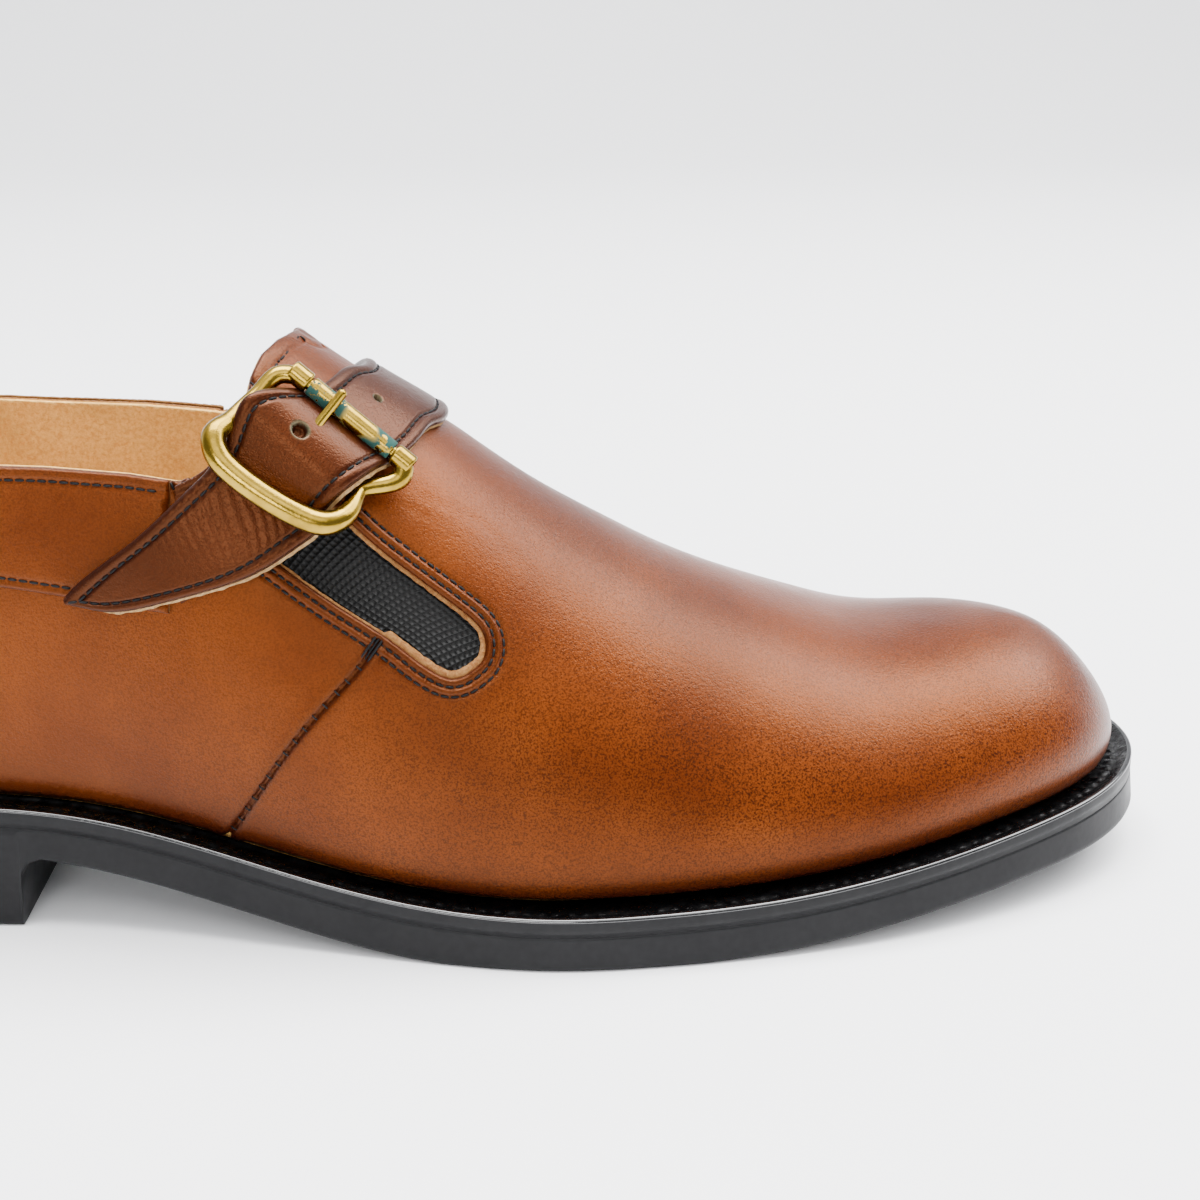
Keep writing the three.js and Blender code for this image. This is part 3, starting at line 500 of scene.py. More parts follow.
# A piece of the shoe, in the place of a node of the CAD. kinds gives each face's material,
# values give each point a number that its material reads
def dress(name, points, faces, materials, node, slot, kinds=None, **values):
    piece = new_object(name, points, [list(map(int, face)) for face in faces], materials)
    mesh = piece.data
    if kinds is not None:
        mesh.polygons.foreach_set("material_index", np.asarray(kinds, np.int32))
    for label, column in values.items():
        layer = mesh.attributes.new(label, "FLOAT", "POINT")
        layer.data.foreach_set("value", np.asarray(column, np.float32))
    mesh.validate(verbose=False)
    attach(piece, "root")
    if node is not None:
        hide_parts(node)
    return piece


# Faces between rows of points, each row a closed loop unless it is said to be open
def rows_to_faces(rows, columns, closed_rows=False, closed_columns=True):
    i = np.arange(rows if closed_rows else rows - 1)
    k = np.arange(columns if closed_columns else columns - 1)
    i, k = np.meshgrid(i, k, indexing="ij")
    next_i = (i + 1) % rows
    next_k = (k + 1) % columns
    corners = [i * columns + k, next_i * columns + k, next_i * columns + next_k, i * columns + next_k]
    return np.stack([corner.ravel() for corner in corners], -1)


# Flat ends for a bar whose rows are loops of points
def end_caps(rows, columns):
    return [list(range(columns))[::-1], list(range((rows - 1) * columns, rows * columns))]


# A thin sheet with a face and a back
def sheet(name, face, back, faces, material, node, slot, **values):
    points = np.concatenate([face.reshape(-1, 3), back.reshape(-1, 3)])
    faces = np.concatenate([faces, faces[:, ::-1] + len(points) // 2])
    doubled = {label: np.r_[column.ravel(), column.ravel()] for label, column in values.items()}
    return dress(name, points, faces, [material], node, slot, **doubled)


# A layer of leather over a net: its face, its back and its raw edge, rounded where the rim is free
def layer(name, net, lift, thick, round_edge, materials, slot, burnish, free_within):
    base = net.points()
    normal = outward(net.par[:, 0], net.par[:, 1])
    rim = net.rim()
    middle = base[rim].mean(1)
    border = rim[np.minimum(nearest("window", middle), nearest("edge", middle)) < free_within]
    tree = kd_tree(np.concatenate([base[border[:, 0]], base[border].mean(1)]))
    gap = np.array([tree.find(point)[2] for point in base])
    gap[border.ravel()] = 0
    short = np.maximum(round_edge - gap, 0)
    drop = round_edge - np.sqrt(np.maximum(round_edge**2 - short**2, 0))
    count = len(base)
    a, b = rim.T
    wall = np.concatenate([np.stack([b, a, a + count], -1), np.stack([b, a + count, b + count], -1)])
    points = np.concatenate([base + normal * (lift - drop)[:, None], base + normal * (lift - thick)[:, None]])
    faces = np.concatenate([net.tris, net.tris[:, ::-1] + count, wall])
    kinds = np.repeat([0, 1, 2], [len(net.tris), len(net.tris), len(wall)])
    return dress(name, points, faces, materials, "upper", slot, kinds, burnish=np.r_[burnish, burnish])


def below_topline(points):
    slant = TOPLINE_TURN["slant"] * np.maximum(points[..., 1] - TOPLINE_TURN["slant_from"], 0)
    edge = np.interp(points[..., 0] - slant, TOPLINE["x"], TOPLINE["z"], right=400)
    return edge - TOPLINE_TURN["tilt"] * points[..., 1] - points[..., 2]


def below_band_edge(points):
    return np.interp(points[..., 0], COLLAR_LOW["x"], COLLAR_LOW["z"]) - points[..., 2]


def behind_band_front(points):
    return np.interp(points[..., 2], COLLAR_FRONT["z"], COLLAR_FRONT["x"]) - points[..., 0]


# The line on one side of the skin where a field crosses zero, by halving
def crossing(field, stations, sign):
    turns = turn_at(stations)
    low = np.full(len(turns), 1e-3)
    high = np.full(len(turns), 0.999)
    for _ in range(26):
        middle = (low + high) / 2
        over = field(skin(turns, sign * middle)) < 0
        low = np.where(over, middle, low)
        high = np.where(over, high, middle)
    return turns, sign * (low + high) / 2


# A smooth line through places of a table; one across is about 90 mm
def smooth_line(stations, acrosses, count):
    arc = np.r_[0, np.cumsum(np.hypot(np.diff(stations), np.diff(acrosses) * 90))]
    t = np.linspace(0, arc[-1], count)
    return spline(arc, stations)(t), spline(arc, acrosses)(t)


# The lines of the upper, as turns and places across: the window's edge from its top behind the strap
# round the low end and up in front, the side seam, the collar's edge and the band's lower edge
window_station, window_across = smooth_line(
    WINDOW["rear"][::-1] + WINDOW["front"], WINDOW["rear_across"][::-1] + WINDOW["front_across"], 500
)
seam_station, seam_across = smooth_line(*SIDE_SEAM.values(), 120)
edge_stations = np.concatenate(
    [np.linspace(*run) for run in ((BACK_END, -42, 300), (-41.9, -31, 120), (-30.98, -20, 500))]
)
band_stations = np.linspace(BACK_END, -43.1, 300)
lines = {}
for sign in SIDES.values():
    lines["window", sign] = turn_at(window_station), sign * window_across
    lines["seam", sign] = turn_at(seam_station), sign * seam_across
    lines["edge", sign] = crossing(below_topline, edge_stations, sign)
    lines["band", sign] = crossing(below_band_edge, band_stations, sign)
tracks = {key: Track(skin(*line)) for key, line in lines.items()}


# Distances of points from a line of the upper, whichever side of the foot is nearer
def nearest(label, points):
    return np.minimum(tracks[label, -1].distance(points), tracks[label, 1].distance(points))


# A line of the upper with its normals and the directions square to it on the skin
def frame_of(label, sign):
    line = skin(*lines[label, sign])
    up = outward(*lines[label, sign])
    return line, up, np.cross(unit(np.gradient(line, axis=0)), up)


# Distance from the window's edge, above zero inside it
def in_window(net, points):
    within = inside(window_station, window_across, station_at(net.par[:, 0]), np.abs(net.par[:, 1]))
    gap = nearest("window", points)
    return np.where(within, gap, -gap)


def wanted_upper(points):
    window, edge, seam = (nearest(label, points) for label in ("window", "edge", "seam"))
    near = np.minimum(window, np.minimum(edge, seam))
    rows = np.minimum(*(np.abs(window - row) for row in ROWS["window"]))
    on_tongue = (points[:, 0] > TONGUE_FROM) & (np.abs(edge - ROWS["tongue"]) < 0.8)
    size = np.where(near < 1.2, 0.5, np.clip(0.5 + near * 0.35, 0.6, 2.4))
    return np.where((rows < 0.7) | on_tongue, 0.5, size)


def creased(points):
    starts, ends = (
        places(dict(station=CREASES[end + "_station"], across=CREASES[end + "_across"], lift=0.0))
        for end in ("from", "to")
    )
    lift = np.zeros(len(points))
    for start, end, width, depth in zip(starts, ends, CREASES["width"], CREASES["depth"]):
        way = end - start
        share = np.clip((points - start) @ way / (way @ way), 0, 1)
        gap = np.linalg.norm(points - start - share[:, None] * way, axis=1)
        trough = bell(gap, width) - 0.5 * bell(gap, 2.4 * width)
        lift -= depth * np.sin(np.pi * np.clip(share, 0.05, 0.95)) * trough
    return lift


# How far the leather stands off the skin: pulled in along its stitches and seams, puffed beside them
def upper_lift(points, across, window, edge, seam):
    lift = sum(-0.45 * bell(np.abs(window - row), 0.4) for row in ROWS["window"])
    lift += 0.25 * bell(window - 2.5, 0.6) + 0.2 * bell(window - 0.8, 0.6)
    lift += -0.75 * bell(seam, 0.42) + 0.22 * bell(seam - 1.6, 1.1)
    tongue = -0.22 * bell(edge - ROWS["tongue"], 0.5) + 0.2 * bell(edge - 1.7, 1.0)
    lift += np.where(points[:, 0] > TONGUE_FROM, tongue, 0)
    back = np.where(points[:, 0] < -100, np.abs(points[:, 1]), Track.REACH)
    lift += -0.3 * bell(back, 0.5) + 0.1 * bell(back - 1.6, 1.2)
    lift -= 1.3 * ease(across, 0.972, 1.0) ** 1.6
    lift += 0.10 * Ripple(3, 26.0)(points) + 0.035 * Ripple(5, 9.0)(points)
    return lift + creased(points)


# How dark the leather is rubbed along its seams and its edges, and how much painted shade darkens it towards
# the welt
def rubbing_and_welt_shade(across, window, edge, seam):
    burnish = 0.55 * bell(window, 3.4) + 0.3 * bell(window, 8.5)
    burnish = burnish + 1.2 * bell(seam, 0.75) + 0.35 * bell(seam, 2.4)
    burnish += 0.5 * bell(edge, 2.0)
    # Painted shade: darker over the lowest tenth of the upper, where it meets the welt
    burnish += 0.6 * ease(across, 0.9, 1.0)
    return np.clip(burnish, 0, 1)


# A material or a world with its nodes, made by name and wired by socket
class Shader:
    def __init__(self, owner, surface="Principled BSDF"):
        owner.use_nodes = True
        self.owner = owner
        self.tree = owner.node_tree
        self.surface = self.tree.nodes[surface]
        self.where = self.tree.nodes.new("ShaderNodeTexCoord").outputs

    def link(self, socket, value):
        if isinstance(value, bpy.types.NodeSocket):
            self.tree.links.new(value, socket)
        else:
            socket.default_value = value

    def put(self, **values):
        for name, value in values.items():
            self.link(self.surface.inputs[name.replace("_", " ")], value)

    def node(self, kind, inputs, **settings):
        node = self.tree.nodes.new(kind)
        for name, value in settings.items():
            setattr(node, name, value)
        for key, value in inputs.items():
            self.link(node.inputs[key], value)
        return node.outputs

    def noise(self, scale, detail=3.0, rough=0.5):
        inputs = {"Scale": scale, "Detail": detail, "Roughness": rough, "Vector": self.where["Object"]}
        return self.node("ShaderNodeTexNoise", inputs)["Fac"]

    def cells(self, scale):
        return self.node("ShaderNodeTexVoronoi", {"Scale": scale, "Vector": self.where["Object"]})["Distance"]

    def math(self, operation, a, b=0.0):
        return self.node("ShaderNodeMath", {0: a, 1: b}, operation=operation)[0]

    # Spreads the values between low and high over the values from start to end
    def spread(self, value, low, high, start=0.0, end=1.0):
        inputs = {"Value": value, "From Min": low, "From Max": high, "To Min": start, "To Max": end}
        return self.node("ShaderNodeMapRange", inputs)["Result"]

    def mix(self, share, a, b):
        a, b = ((*colour, 1.0) if isinstance(colour, tuple) else colour for colour in (a, b))
        return self.node("ShaderNodeMix", {0: share, 6: a, 7: b}, data_type="RGBA")[2]

    def value(self, label):
        return self.node("ShaderNodeAttribute", {}, attribute_name=label)["Fac"]

    def bump(self, height, strength, distance, **under):
        inputs = {"Height": height, "Strength": strength, "Distance": distance, **under}
        return self.node("ShaderNodeBump", inputs)["Normal"]


def material(name):
    return Shader(bpy.data.materials.new(name))


# Waxed leather: clouds of two browns, fine dark specks, burnished edges and painted shade from each point's
# values, and a warm sheen
def leather(name, light, deep, dark, sheen, roughness, holes=False):
    s = material(name)
    cloud = s.noise(32.0, 4.0)
    drift = s.noise(9.0, 2.0)
    speck = s.noise(2600.0, 3.0, 0.65)
    pores = s.cells(2300.0)
    base = s.mix(s.spread(cloud, 0.38, 0.62), light, deep)
    grit = s.math("MULTIPLY", s.spread(speck, 0.45, 0.6), s.spread(drift, 0.38, 0.6, 0.4, 0.95))
    # Specks, pores, then each point's burnish and painted shade darken the base
    for share in (grit, s.spread(pores, 0.05, 0.3, 0.35, 0.0), s.math("MULTIPLY", s.value("burnish"), 0.75)):
        base = s.mix(share, base, dark)
    normal = s.bump(s.math("ADD", s.spread(pores, 0.0, 0.5), speck), 0.35, 0.0001)
    normal = s.bump(s.cells(1300.0), 0.16, 0.0002, Normal=normal)
    normal = s.bump(s.noise(170.0, 3.0), 0.12, 0.0006, Normal=normal)
    if holes:
        base = s.mix(s.value("rim"), base, (0.07, 0.075, 0.045))
        # Painted shade: the inside of each punched hole is coloured near black
        base = s.mix(s.value("pit"), base, (0.001, 0.001, 0.001))
    rough = s.math("ADD", s.spread(cloud, 0.3, 0.7, -0.03, 0.05), roughness)
    s.put(Base_Color=base, Roughness=rough, Normal=normal)
    s.put(Specular_Tint=(*sheen, 1.0), Specular_IOR_Level=0.4)
    return s.owner


# The fibrous side of leather
def flesh(name, pale, tan):
    s = material(name)
    fibre = s.noise(1100.0, 4.0, 0.75)
    stain = s.noise(60.0, 3.0)
    base = s.mix(s.spread(fibre, 0.38, 0.64), pale, tan)
    base = s.mix(s.spread(stain, 0.45, 0.7, 0.0, 0.5), base, tuple(c * 0.6 for c in tan))
    s.put(Base_Color=base, Roughness=0.9, Specular_IOR_Level=0.1, Normal=s.bump(fibre, 0.8, 0.0004))
    return s.owner


def plain(name, colour, roughness, specular):
    s = material(name)
    speck = s.noise(700.0, 3.0)
    base = s.mix(s.spread(speck, 0.3, 0.7), colour, tuple(c * 0.7 for c in colour))
    rough = s.spread(s.noise(90.0, 3.0), 0.35, 0.65, roughness * 0.85, roughness * 1.2)
    s.put(Base_Color=base, Roughness=rough, Specular_IOR_Level=specular, Normal=s.bump(speck, 0.15, 0.0002))
    return s.owner


# Wet-looking black rubber whose small dents break its highlights up
def welt_rubber(name):
    s = material(name)
    dents = s.noise(900.0, 3.0, 0.6)
    rough = s.spread(s.noise(400.0, 2.0), 0.35, 0.65, 0.2, 0.5)
    s.put(Base_Color=(0.001, 0.001, 0.0012, 1.0), Roughness=rough, Specular_IOR_Level=0.16)
    s.put(Normal=s.bump(dents, 0.5, 0.0005))
    return s.owner


# Woven elastic: ribs across its length, each broken into small knots
def elastic(name, **pitch):
    s = material(name)
    waves = []
    for label, length in pitch.items():
        wave = s.math("SINE", s.math("MULTIPLY", s.value(label), np.pi / length))
        waves.append(s.math("ABSOLUTE", wave))
    height = s.math("MULTIPLY", waves[0], s.spread(waves[1], 0.0, 1.0, 0.1, 1.0))
    # Painted shade: the colour darkens from the tops of the knots into the grooves between them
    base = s.mix(height, (0.001, 0.001, 0.001), (0.007, 0.0068, 0.0065))
    s.put(Base_Color=base, Roughness=0.5, Specular_IOR_Level=0.13, Normal=s.bump(height, 0.9, 0.0004))
    return s.owner


# Worn brass, with crusts of verdigris where they are asked for
def brass(name, crusted=False):
    s = material(name)
    smear = s.noise(160.0, 4.0, 0.6)
    base = s.mix(s.spread(smear, 0.35, 0.7), (0.36, 0.235, 0.03), (0.19, 0.115, 0.011))
    s.put(Base_Color=base, Metallic=1.0, Roughness=s.spread(smear, 0.3, 0.7, 0.13, 0.28))
    s.put(Normal=s.bump(s.noise(1400.0, 2.0), 0.14, 0.0002))
    if crusted:
        crust = s.spread(s.noise(420.0, 5.0, 0.65), 0.45, 0.48)
        green = s.math("MULTIPLY", crust, s.spread(s.noise(70.0, 2.0), 0.36, 0.4))
        s.put(Base_Color=s.mix(green, base, (0.004, 0.045, 0.035)))
        s.put(Metallic=s.spread(green, 0.0, 1.0, 1.0, 0.0), Roughness=s.spread(green, 0.0, 1.0, 0.25, 0.9))
    return s.owner


LEATHER_LOOK = leather(
    "brown_leather", (0.114, 0.024, 0.0034), (0.068, 0.0118, 0.0018), (0.012, 0.0018, 0.001),
    sheen=(1.0, 0.36, 0.12), roughness=0.3,
)
STRAP_LOOK = leather(
    "dark_leather", (0.038, 0.0074, 0.002), (0.021, 0.0034, 0.001), (0.005, 0.001, 0.001),
    sheen=(1.0, 0.38, 0.16), roughness=0.28, holes=True,
)
RAW_EDGE = flesh("raw_edge", (0.26, 0.13, 0.045), (0.15, 0.055, 0.016))
PALE_SPLIT = flesh("pale_split", (0.36, 0.23, 0.11), (0.2, 0.11, 0.04))
LINING_LOOK = flesh("lining_leather", (0.82, 0.5, 0.15), (0.62, 0.32, 0.085))
THREAD = plain("black_thread", (0.002, 0.002, 0.0024), 0.6, 0.2)
RUBBER = plain("black_rubber", (0.0075, 0.0075, 0.0083), 0.42, 0.14)
BEAD = plain("welt_bead", (0.003, 0.003, 0.0034), 0.11, 1.0)
WELT_LOOK = welt_rubber("welt_rubber")
ELASTIC = elastic("black_elastic", along=1.3, over=1.05)
BRASS = brass("worn_brass")
VERDIGRIS = brass("brass_with_verdigris", crusted=True)


# The upper's leather: one net over the whole foot, cut at the collar and at the windows
def make_upper():
    net = Net(np.linspace(0, 1, 170), np.linspace(-1, 1, 115))
    net.clip(lambda points: below_topline(points) + CUT_MARGIN)
    net.refine(wanted_upper, 5)
    net.clip(below_topline)
    net.clip(lambda points: -in_window(net, points))
    net.weld()
    points = net.points()
    across = np.abs(net.par[:, 1])
    near = [nearest(label, points) for label in ("window", "edge", "seam")]
    looks = [LEATHER_LOOK, LINING_LOOK, RAW_EDGE]
    lift = upper_lift(points, across, *near)
    return layer("upper_leather", net, lift, LEATHER, 0.7, looks, "leather", rubbing_and_welt_shade(across, *near), 2.5)


def make_lining():
    def wanted(points):
        near = np.minimum(nearest("window", points), nearest("edge", points))
        return np.clip(0.6 + near * 0.5, 0.7, 3.0)

    net = Net(np.linspace(0, 1, 150), np.linspace(-1, 1, 101))
    net.clip(lambda points: below_topline(points) + CUT_MARGIN)
    net.refine(wanted, 4)
    net.clip(lambda points: below_topline(points) + 0.1)
    net.clip(lambda points: -in_window(net, points) - 0.4)
    net.weld()
    lift = -LEATHER - 0.05 + 0.05 * Ripple(8, 14.0)(net.points())
    layer("lining", net, lift, LINING, 0.5, [LINING_LOOK] * 3, "lining", np.zeros(len(lift)), 2.5)


# The collar band: a wide strip sewn over the quarters along the top edge
def make_band():
    def field(points):
        return np.minimum(-below_band_edge(points), behind_band_front(points))

    def wanted(points):
        low, top = nearest("band", points), nearest("edge", points)
        rows = np.minimum(np.abs(top - ROWS["band_top"]), np.abs(low - ROWS["band_low"]))
        near = np.minimum(low, top)
        size = np.where(near < 1.2, 0.5, np.clip(0.5 + near * 0.3, 0.6, 2.2))
        return np.where(rows < 0.7, 0.5, size)

    net = Net(np.linspace(0, 0.42, 110), np.linspace(-1, 1, 115))
    net.clip(lambda points: below_topline(points) + CUT_MARGIN)
    net.clip(lambda points: field(points) + CUT_MARGIN)
    net.refine(wanted, 5)
    net.clip(below_topline)
    net.clip(field)
    net.weld()
    points = net.points()
    low, top = nearest("band", points), nearest("edge", points)
    lift = COLLAR_STEP - 0.35 * bell(top - ROWS["band_top"], 0.5) - 0.3 * bell(low - ROWS["band_low"], 0.5)
    lift += 0.12 * bell(top - 1.0, 0.9) + 0.08 * Ripple(11, 20.0)(points)
    burnish = np.clip(0.5 * bell(top, 1.2) + 0.5 * bell(low, 1.2) + 0.12, 0, 1)
    looks = [LEATHER_LOOK, RAW_EDGE, RAW_EDGE]
    return layer("collar_band", net, lift, COLLAR_STEP, 0.7, looks, "leather", burnish, np.inf)


# The skin between two edges of a table: u counts its rows, w goes from the rear edge to the front one
class Panel:
    def __init__(self, rows):
        index = np.arange(len(rows["rear"]))
        self.last = index[-1]
        self.read = [spline(index, rows[key]) for key in ("rear", "rear_across", "front", "front_across")]

    def par(self, u, w):
        rear, rear_across, front, front_across = (read(u) for read in self.read)
        return turn_at(rear + (front - rear) * w), rear_across + (front_across - rear_across) * w


# A panel held off the skin by a softened lift
class Strip(Panel):
    FINE = 40
    SOFT = 34

    def __init__(self, rows):
        super().__init__(rows)
        self.fine = np.linspace(0, self.last, self.last * self.FINE + 1)
        blur = bell(np.arange(-3 * self.SOFT, 3 * self.SOFT + 1), self.SOFT)
        lift = np.pad(steady(rows["lift"])(self.fine), 3 * self.SOFT, mode="edge")
        self.lift = np.convolve(lift, blur / blur.sum(), mode="valid")

    def at(self, u, w, height):
        return place(*self.par(u, w), np.interp(u, self.fine, self.lift) + height)

    def width(self, u):
        return np.maximum(np.linalg.norm(self.at(u, 0.0, 0.0) - self.at(u, 1.0, 0.0), axis=-1), 0.6)


# Edges of a strip from the back to the top: inset from the side in mm, height as a share of the thickness.
# The strap's backing of pale split leather stands a little beyond its front edge, over part of its length
ROUND_EDGE = dict(inset=[0.3, 0, 0, 0, 0.12, 0.42, 0.95], height=[0, 0.11, 0.45, 0.68, 0.85, 0.96, 1.0])
BACKED_EDGE = dict(
    inset=[-0.2, -0.85, -0.9, -0.2, 0, 0, 0.12, 0.42, 0.95],
    height=[0, 0.04, 0.3, 0.36, 0.45, 0.68, 0.85, 0.96, 1.0],
)
BACKING_SHOWS = dict(low=[7.0, 8.5], high=[18.6, 19.7])
TOP_FROM = 0.95
strap_waves = Ripple(21, 13.0)
fray = Ripple(22, 2.2)


# A thick strip of leather. lift(points, u, inset, width) moves its top, marks(points, inset) shade it
def strip_shell(name, node, strip, count, thick, front_edge, lift, marks):
    u = np.linspace(0, strip.last, count)
    width = strip.width(u)
    shows = ease(u, *BACKING_SHOWS["low"]) * (1 - ease(u, *BACKING_SHOWS["high"]))
    ragged = shows * (0.85 + 0.4 * fray(strip.at(u, 1.0, 0.0)))
    columns = [(np.minimum(inset / width, 0.5), height, 0) for inset, height in zip(*ROUND_EDGE.values())]
    start = np.minimum(ROUND_EDGE["inset"][-1] / width, 0.5)
    columns += [(start + (1 - 2 * start) * share, 1.0, 0) for share in np.linspace(0, 1, 60)[1:-1]]
    for inset, height in list(zip(*front_edge.values()))[::-1]:
        reach = inset * ragged if inset < 0 else np.minimum(inset, width / 2)
        columns.append((1 - reach / width, height, int(height < 0.4)))
    columns += [(share, 0.0, 1) for share in (0.75, 0.5, 0.25)]
    points, insets = [], []
    for w, height, _ in columns:
        row = strip.at(u, w, height * thick)
        inset = np.full(count, 0.4)
        if height > TOP_FROM:
            inset = np.minimum(w, 1 - w) * width
            row = row + outward(*strip.par(u, w)) * lift(row, u, inset, width)[:, None]
        points.append(row)
        insets.append(inset)
    points = np.stack(points, 1).reshape(-1, 3)
    faces = rows_to_faces(count, len(columns))
    kinds = np.array([kind for _, _, kind in columns])[faces[:, 0] % len(columns)]
    faces = [*faces, *end_caps(count, len(columns))]
    looks = [STRAP_LOOK, PALE_SPLIT]
    shades = marks(points, np.stack(insets, 1).ravel())
    return dress(name, points, faces, looks, node, "strap_leather", np.r_[kinds, 0, 0], **shades)


# How far points are from the middle of the nearest punched hole, as a share of its radius
def from_holes(points):
    holes = zip(hole_spots, HOLES["radius"])
    return np.minimum(*(np.linalg.norm(points - spot, axis=1) / radius for spot, radius in holes))


def make_strap():
    def lift(points, u, inset, width):
        row = 0.16 * bell(inset - 1.3, 0.8) - 0.38 * bell(inset - ROWS["strap"], 0.42) * ease(width, 4.5, 7.0)
        waves = strap_waves(points)
        flex = 0.05 * np.sin(points @ np.array([3.4, -1.5, 1.4]) + 4 * waves) * bell(u - 15.3, 0.9)
        return row + (0.07 * waves + flex - 1.9 * (1 - ease(from_holes(points), 0.75, 1.1)))

    def marks(points, inset):
        reach = from_holes(points)
        burnish = 0.5 * bell(inset, 1.3) + 0.45 * bell(inset - ROWS["strap"], 0.7) + 0.35 * bell(inset, 4.5)
        burnish = np.clip(burnish, 0, 1)
        # The holes' insides get painted shade, near black
        return dict(burnish=burnish, pit=1 - ease(reach, 0.7, 1.0), rim=bell(reach - 1.05, 0.18))

    strip = Strip(STRAP)
    return strip, strip_shell("monk_strap", "strap", strip, 620, STRAP_THICK, BACKED_EDGE, lift, marks)


# The buckle's tab, folded round the centre bar under the strap
def make_tab(bar_rear, bar_front):
    def lift(points, u, inset, width):
        return 0.06 * strap_waves(points) - 0.2 * bell(inset - 1.8, 0.4)

    def marks(points, inset):
        return dict(burnish=0.5 * bell(inset, 1.2))

    strip_shell("buckle_tab_leather", "buckle_tab", Strip(TAB), 160, TAB_THICK, ROUND_EDGE, lift, marks)
    up = outward(turn_at(-20.0), np.array(-0.4))
    ends = [bar_rear + (bar_front - bar_rear) * share for share in TAB_LOOP]
    inner = CENTRE_BAR_RADIUS + GAP / 2
    radii = inner, inner + TAB_FOLD
    tube("buckle_tab_fold", "buckle_tab", "strap_leather", *ends, *radii, up, STRAP_LOOK, 0.3)


# A round rod along points, with its own radius at each, flattened a little towards the foot
def rod(name, node, points, ups, radii, flat=1.0, sides=28, count=220, cap=0.8):
    points = np.asarray(points, float)
    arc = arc_of(points)
    t = np.linspace(0, arc[-1], count)
    line = np.stack([spline(arc, column)(t) for column in points.T], -1)
    up = at_arc(t, arc, ups)
    radius = np.interp(t, arc, radii)
    end = np.clip(np.minimum(t, arc[-1] - t) / (radius * cap), 0, 1)
    size = (radius * (1 - cap + cap * np.sqrt(1 - (1 - end) ** 2)))[:, None, None]
    tangent = unit(np.gradient(line, axis=0))
    across = unit(np.cross(tangent, up))
    up = np.cross(across, tangent) * flat
    body = line[:, None] + circle(across[:, None], up[:, None], sides) * size
    faces = [*rows_to_faces(count, sides), *end_caps(count, sides)]
    return dress(name, body.reshape(-1, 3), faces, [BRASS], node, "brass")


def tube(name, node, slot, start, end, inner, outer, up, look, round_off):
    sides = 40
    length = np.linalg.norm(end - start)
    way = (end - start) / length
    across = unit(np.cross(way, up))
    ring = circle(across, np.cross(across, way), sides)
    profile = [(0, inner), (0, outer - round_off), (round_off, outer)]
    profile += [(length * share, outer) for share in np.linspace(0.05, 0.95, 20)]
    profile += [(length - round_off, outer), (length, outer - round_off), (length, inner)]
    points = np.concatenate([start + way * along + ring * radius for along, radius in profile])
    faces = rows_to_faces(len(profile), sides, closed_rows=True)
    dress(name, points, faces, [look], node, slot)


# The buckle: its ring, the rod with an eye at each end, the roller, the centre bar and the prong
def make_buckle():
    points = places(RING)
    ups = outward(turn_at(RING["station"]), np.array(RING["across"]))
    rod("buckle_ring", "buckle_frame", points, ups, np.array(RING["radius"]) * RING_SLIM, flat=RING_FLAT)
    rear, front = points[0], points[-1]
    bar_rear, bar_front = places(CENTRE_BAR)
    up = ups[[0, -1]]
    rod("roller_rod", None, [rear, front], up, [ROLLER_ROD_RADIUS] * 2, count=80)
    rod("centre_bar", None, [bar_rear, bar_front], up, [CENTRE_BAR_RADIUS] * 2, count=80)
    way = unit(front - rear)
    for name, end, towards in (("ring_eye_rear", rear, way), ("ring_eye_front", front, -way)):
        eye = [end - towards * EYE["back"], end + towards * EYE["fore"]]
        rod(name, None, eye, up, [EYE["radius"]] * 2, sides=32, count=80, cap=EYE["cap"])
    ends = rear + way * ROLLER_CLEAR, front - way * ROLLER_CLEAR
    inner = ROLLER_ROD_RADIUS + GAP
    tube("roller_tube", "buckle_roller", "brass", *ends, inner, ROLLER_RADIUS, up[0], VERDIGRIS, 0.2)
    bar_mid = (bar_rear + bar_front) / 2
    rise = unit(np.cross((rear + front) / 2 - bar_mid, bar_rear - bar_front))
    start = bar_mid + rise * (CENTRE_BAR_RADIUS + GAP + PRONG["start"])
    over = rear + (front - rear) * PRONG["rest"] + rise * (ROLLER_RADIUS + GAP + PRONG["radius"])
    tip = over + unit(over - start) * PRONG["reach"]
    radii = [PRONG["radius"], PRONG["radius"] * PRONG["taper"]]
    rod("prong", "buckle_prong", [start, tip], np.array([rise, rise]), radii, count=40)
    return bar_rear, bar_front


# The welt's cross-section: inset from the sole's edge and height over the sole's top. Its side is
# plain rubber, a polished bead runs along its upper edge, and a wheel has marked its groove
WELT_PROFILE = dict(
    inset=[0.8, 0.8, 0.8, 0.88, 1.05, 1.35, 1.8, 2.3, 2.8, 3.3, 3.8],
    height=[-3.0, -1.2, 0.15, 0.48, 0.68, 0.77, 0.74, 0.55, 0.25, -0.1, -0.3],
)
WELT_GROOVE = dict(inset=[4.3, 4.9, 5.4], height=[0.25, 0.45, 0.25])
WELT_ROWS = dict(side=2, bead=6)
WHEEL = dict(inset=4.6, pitch=2.8, floor=-0.35, sharp=1.5)


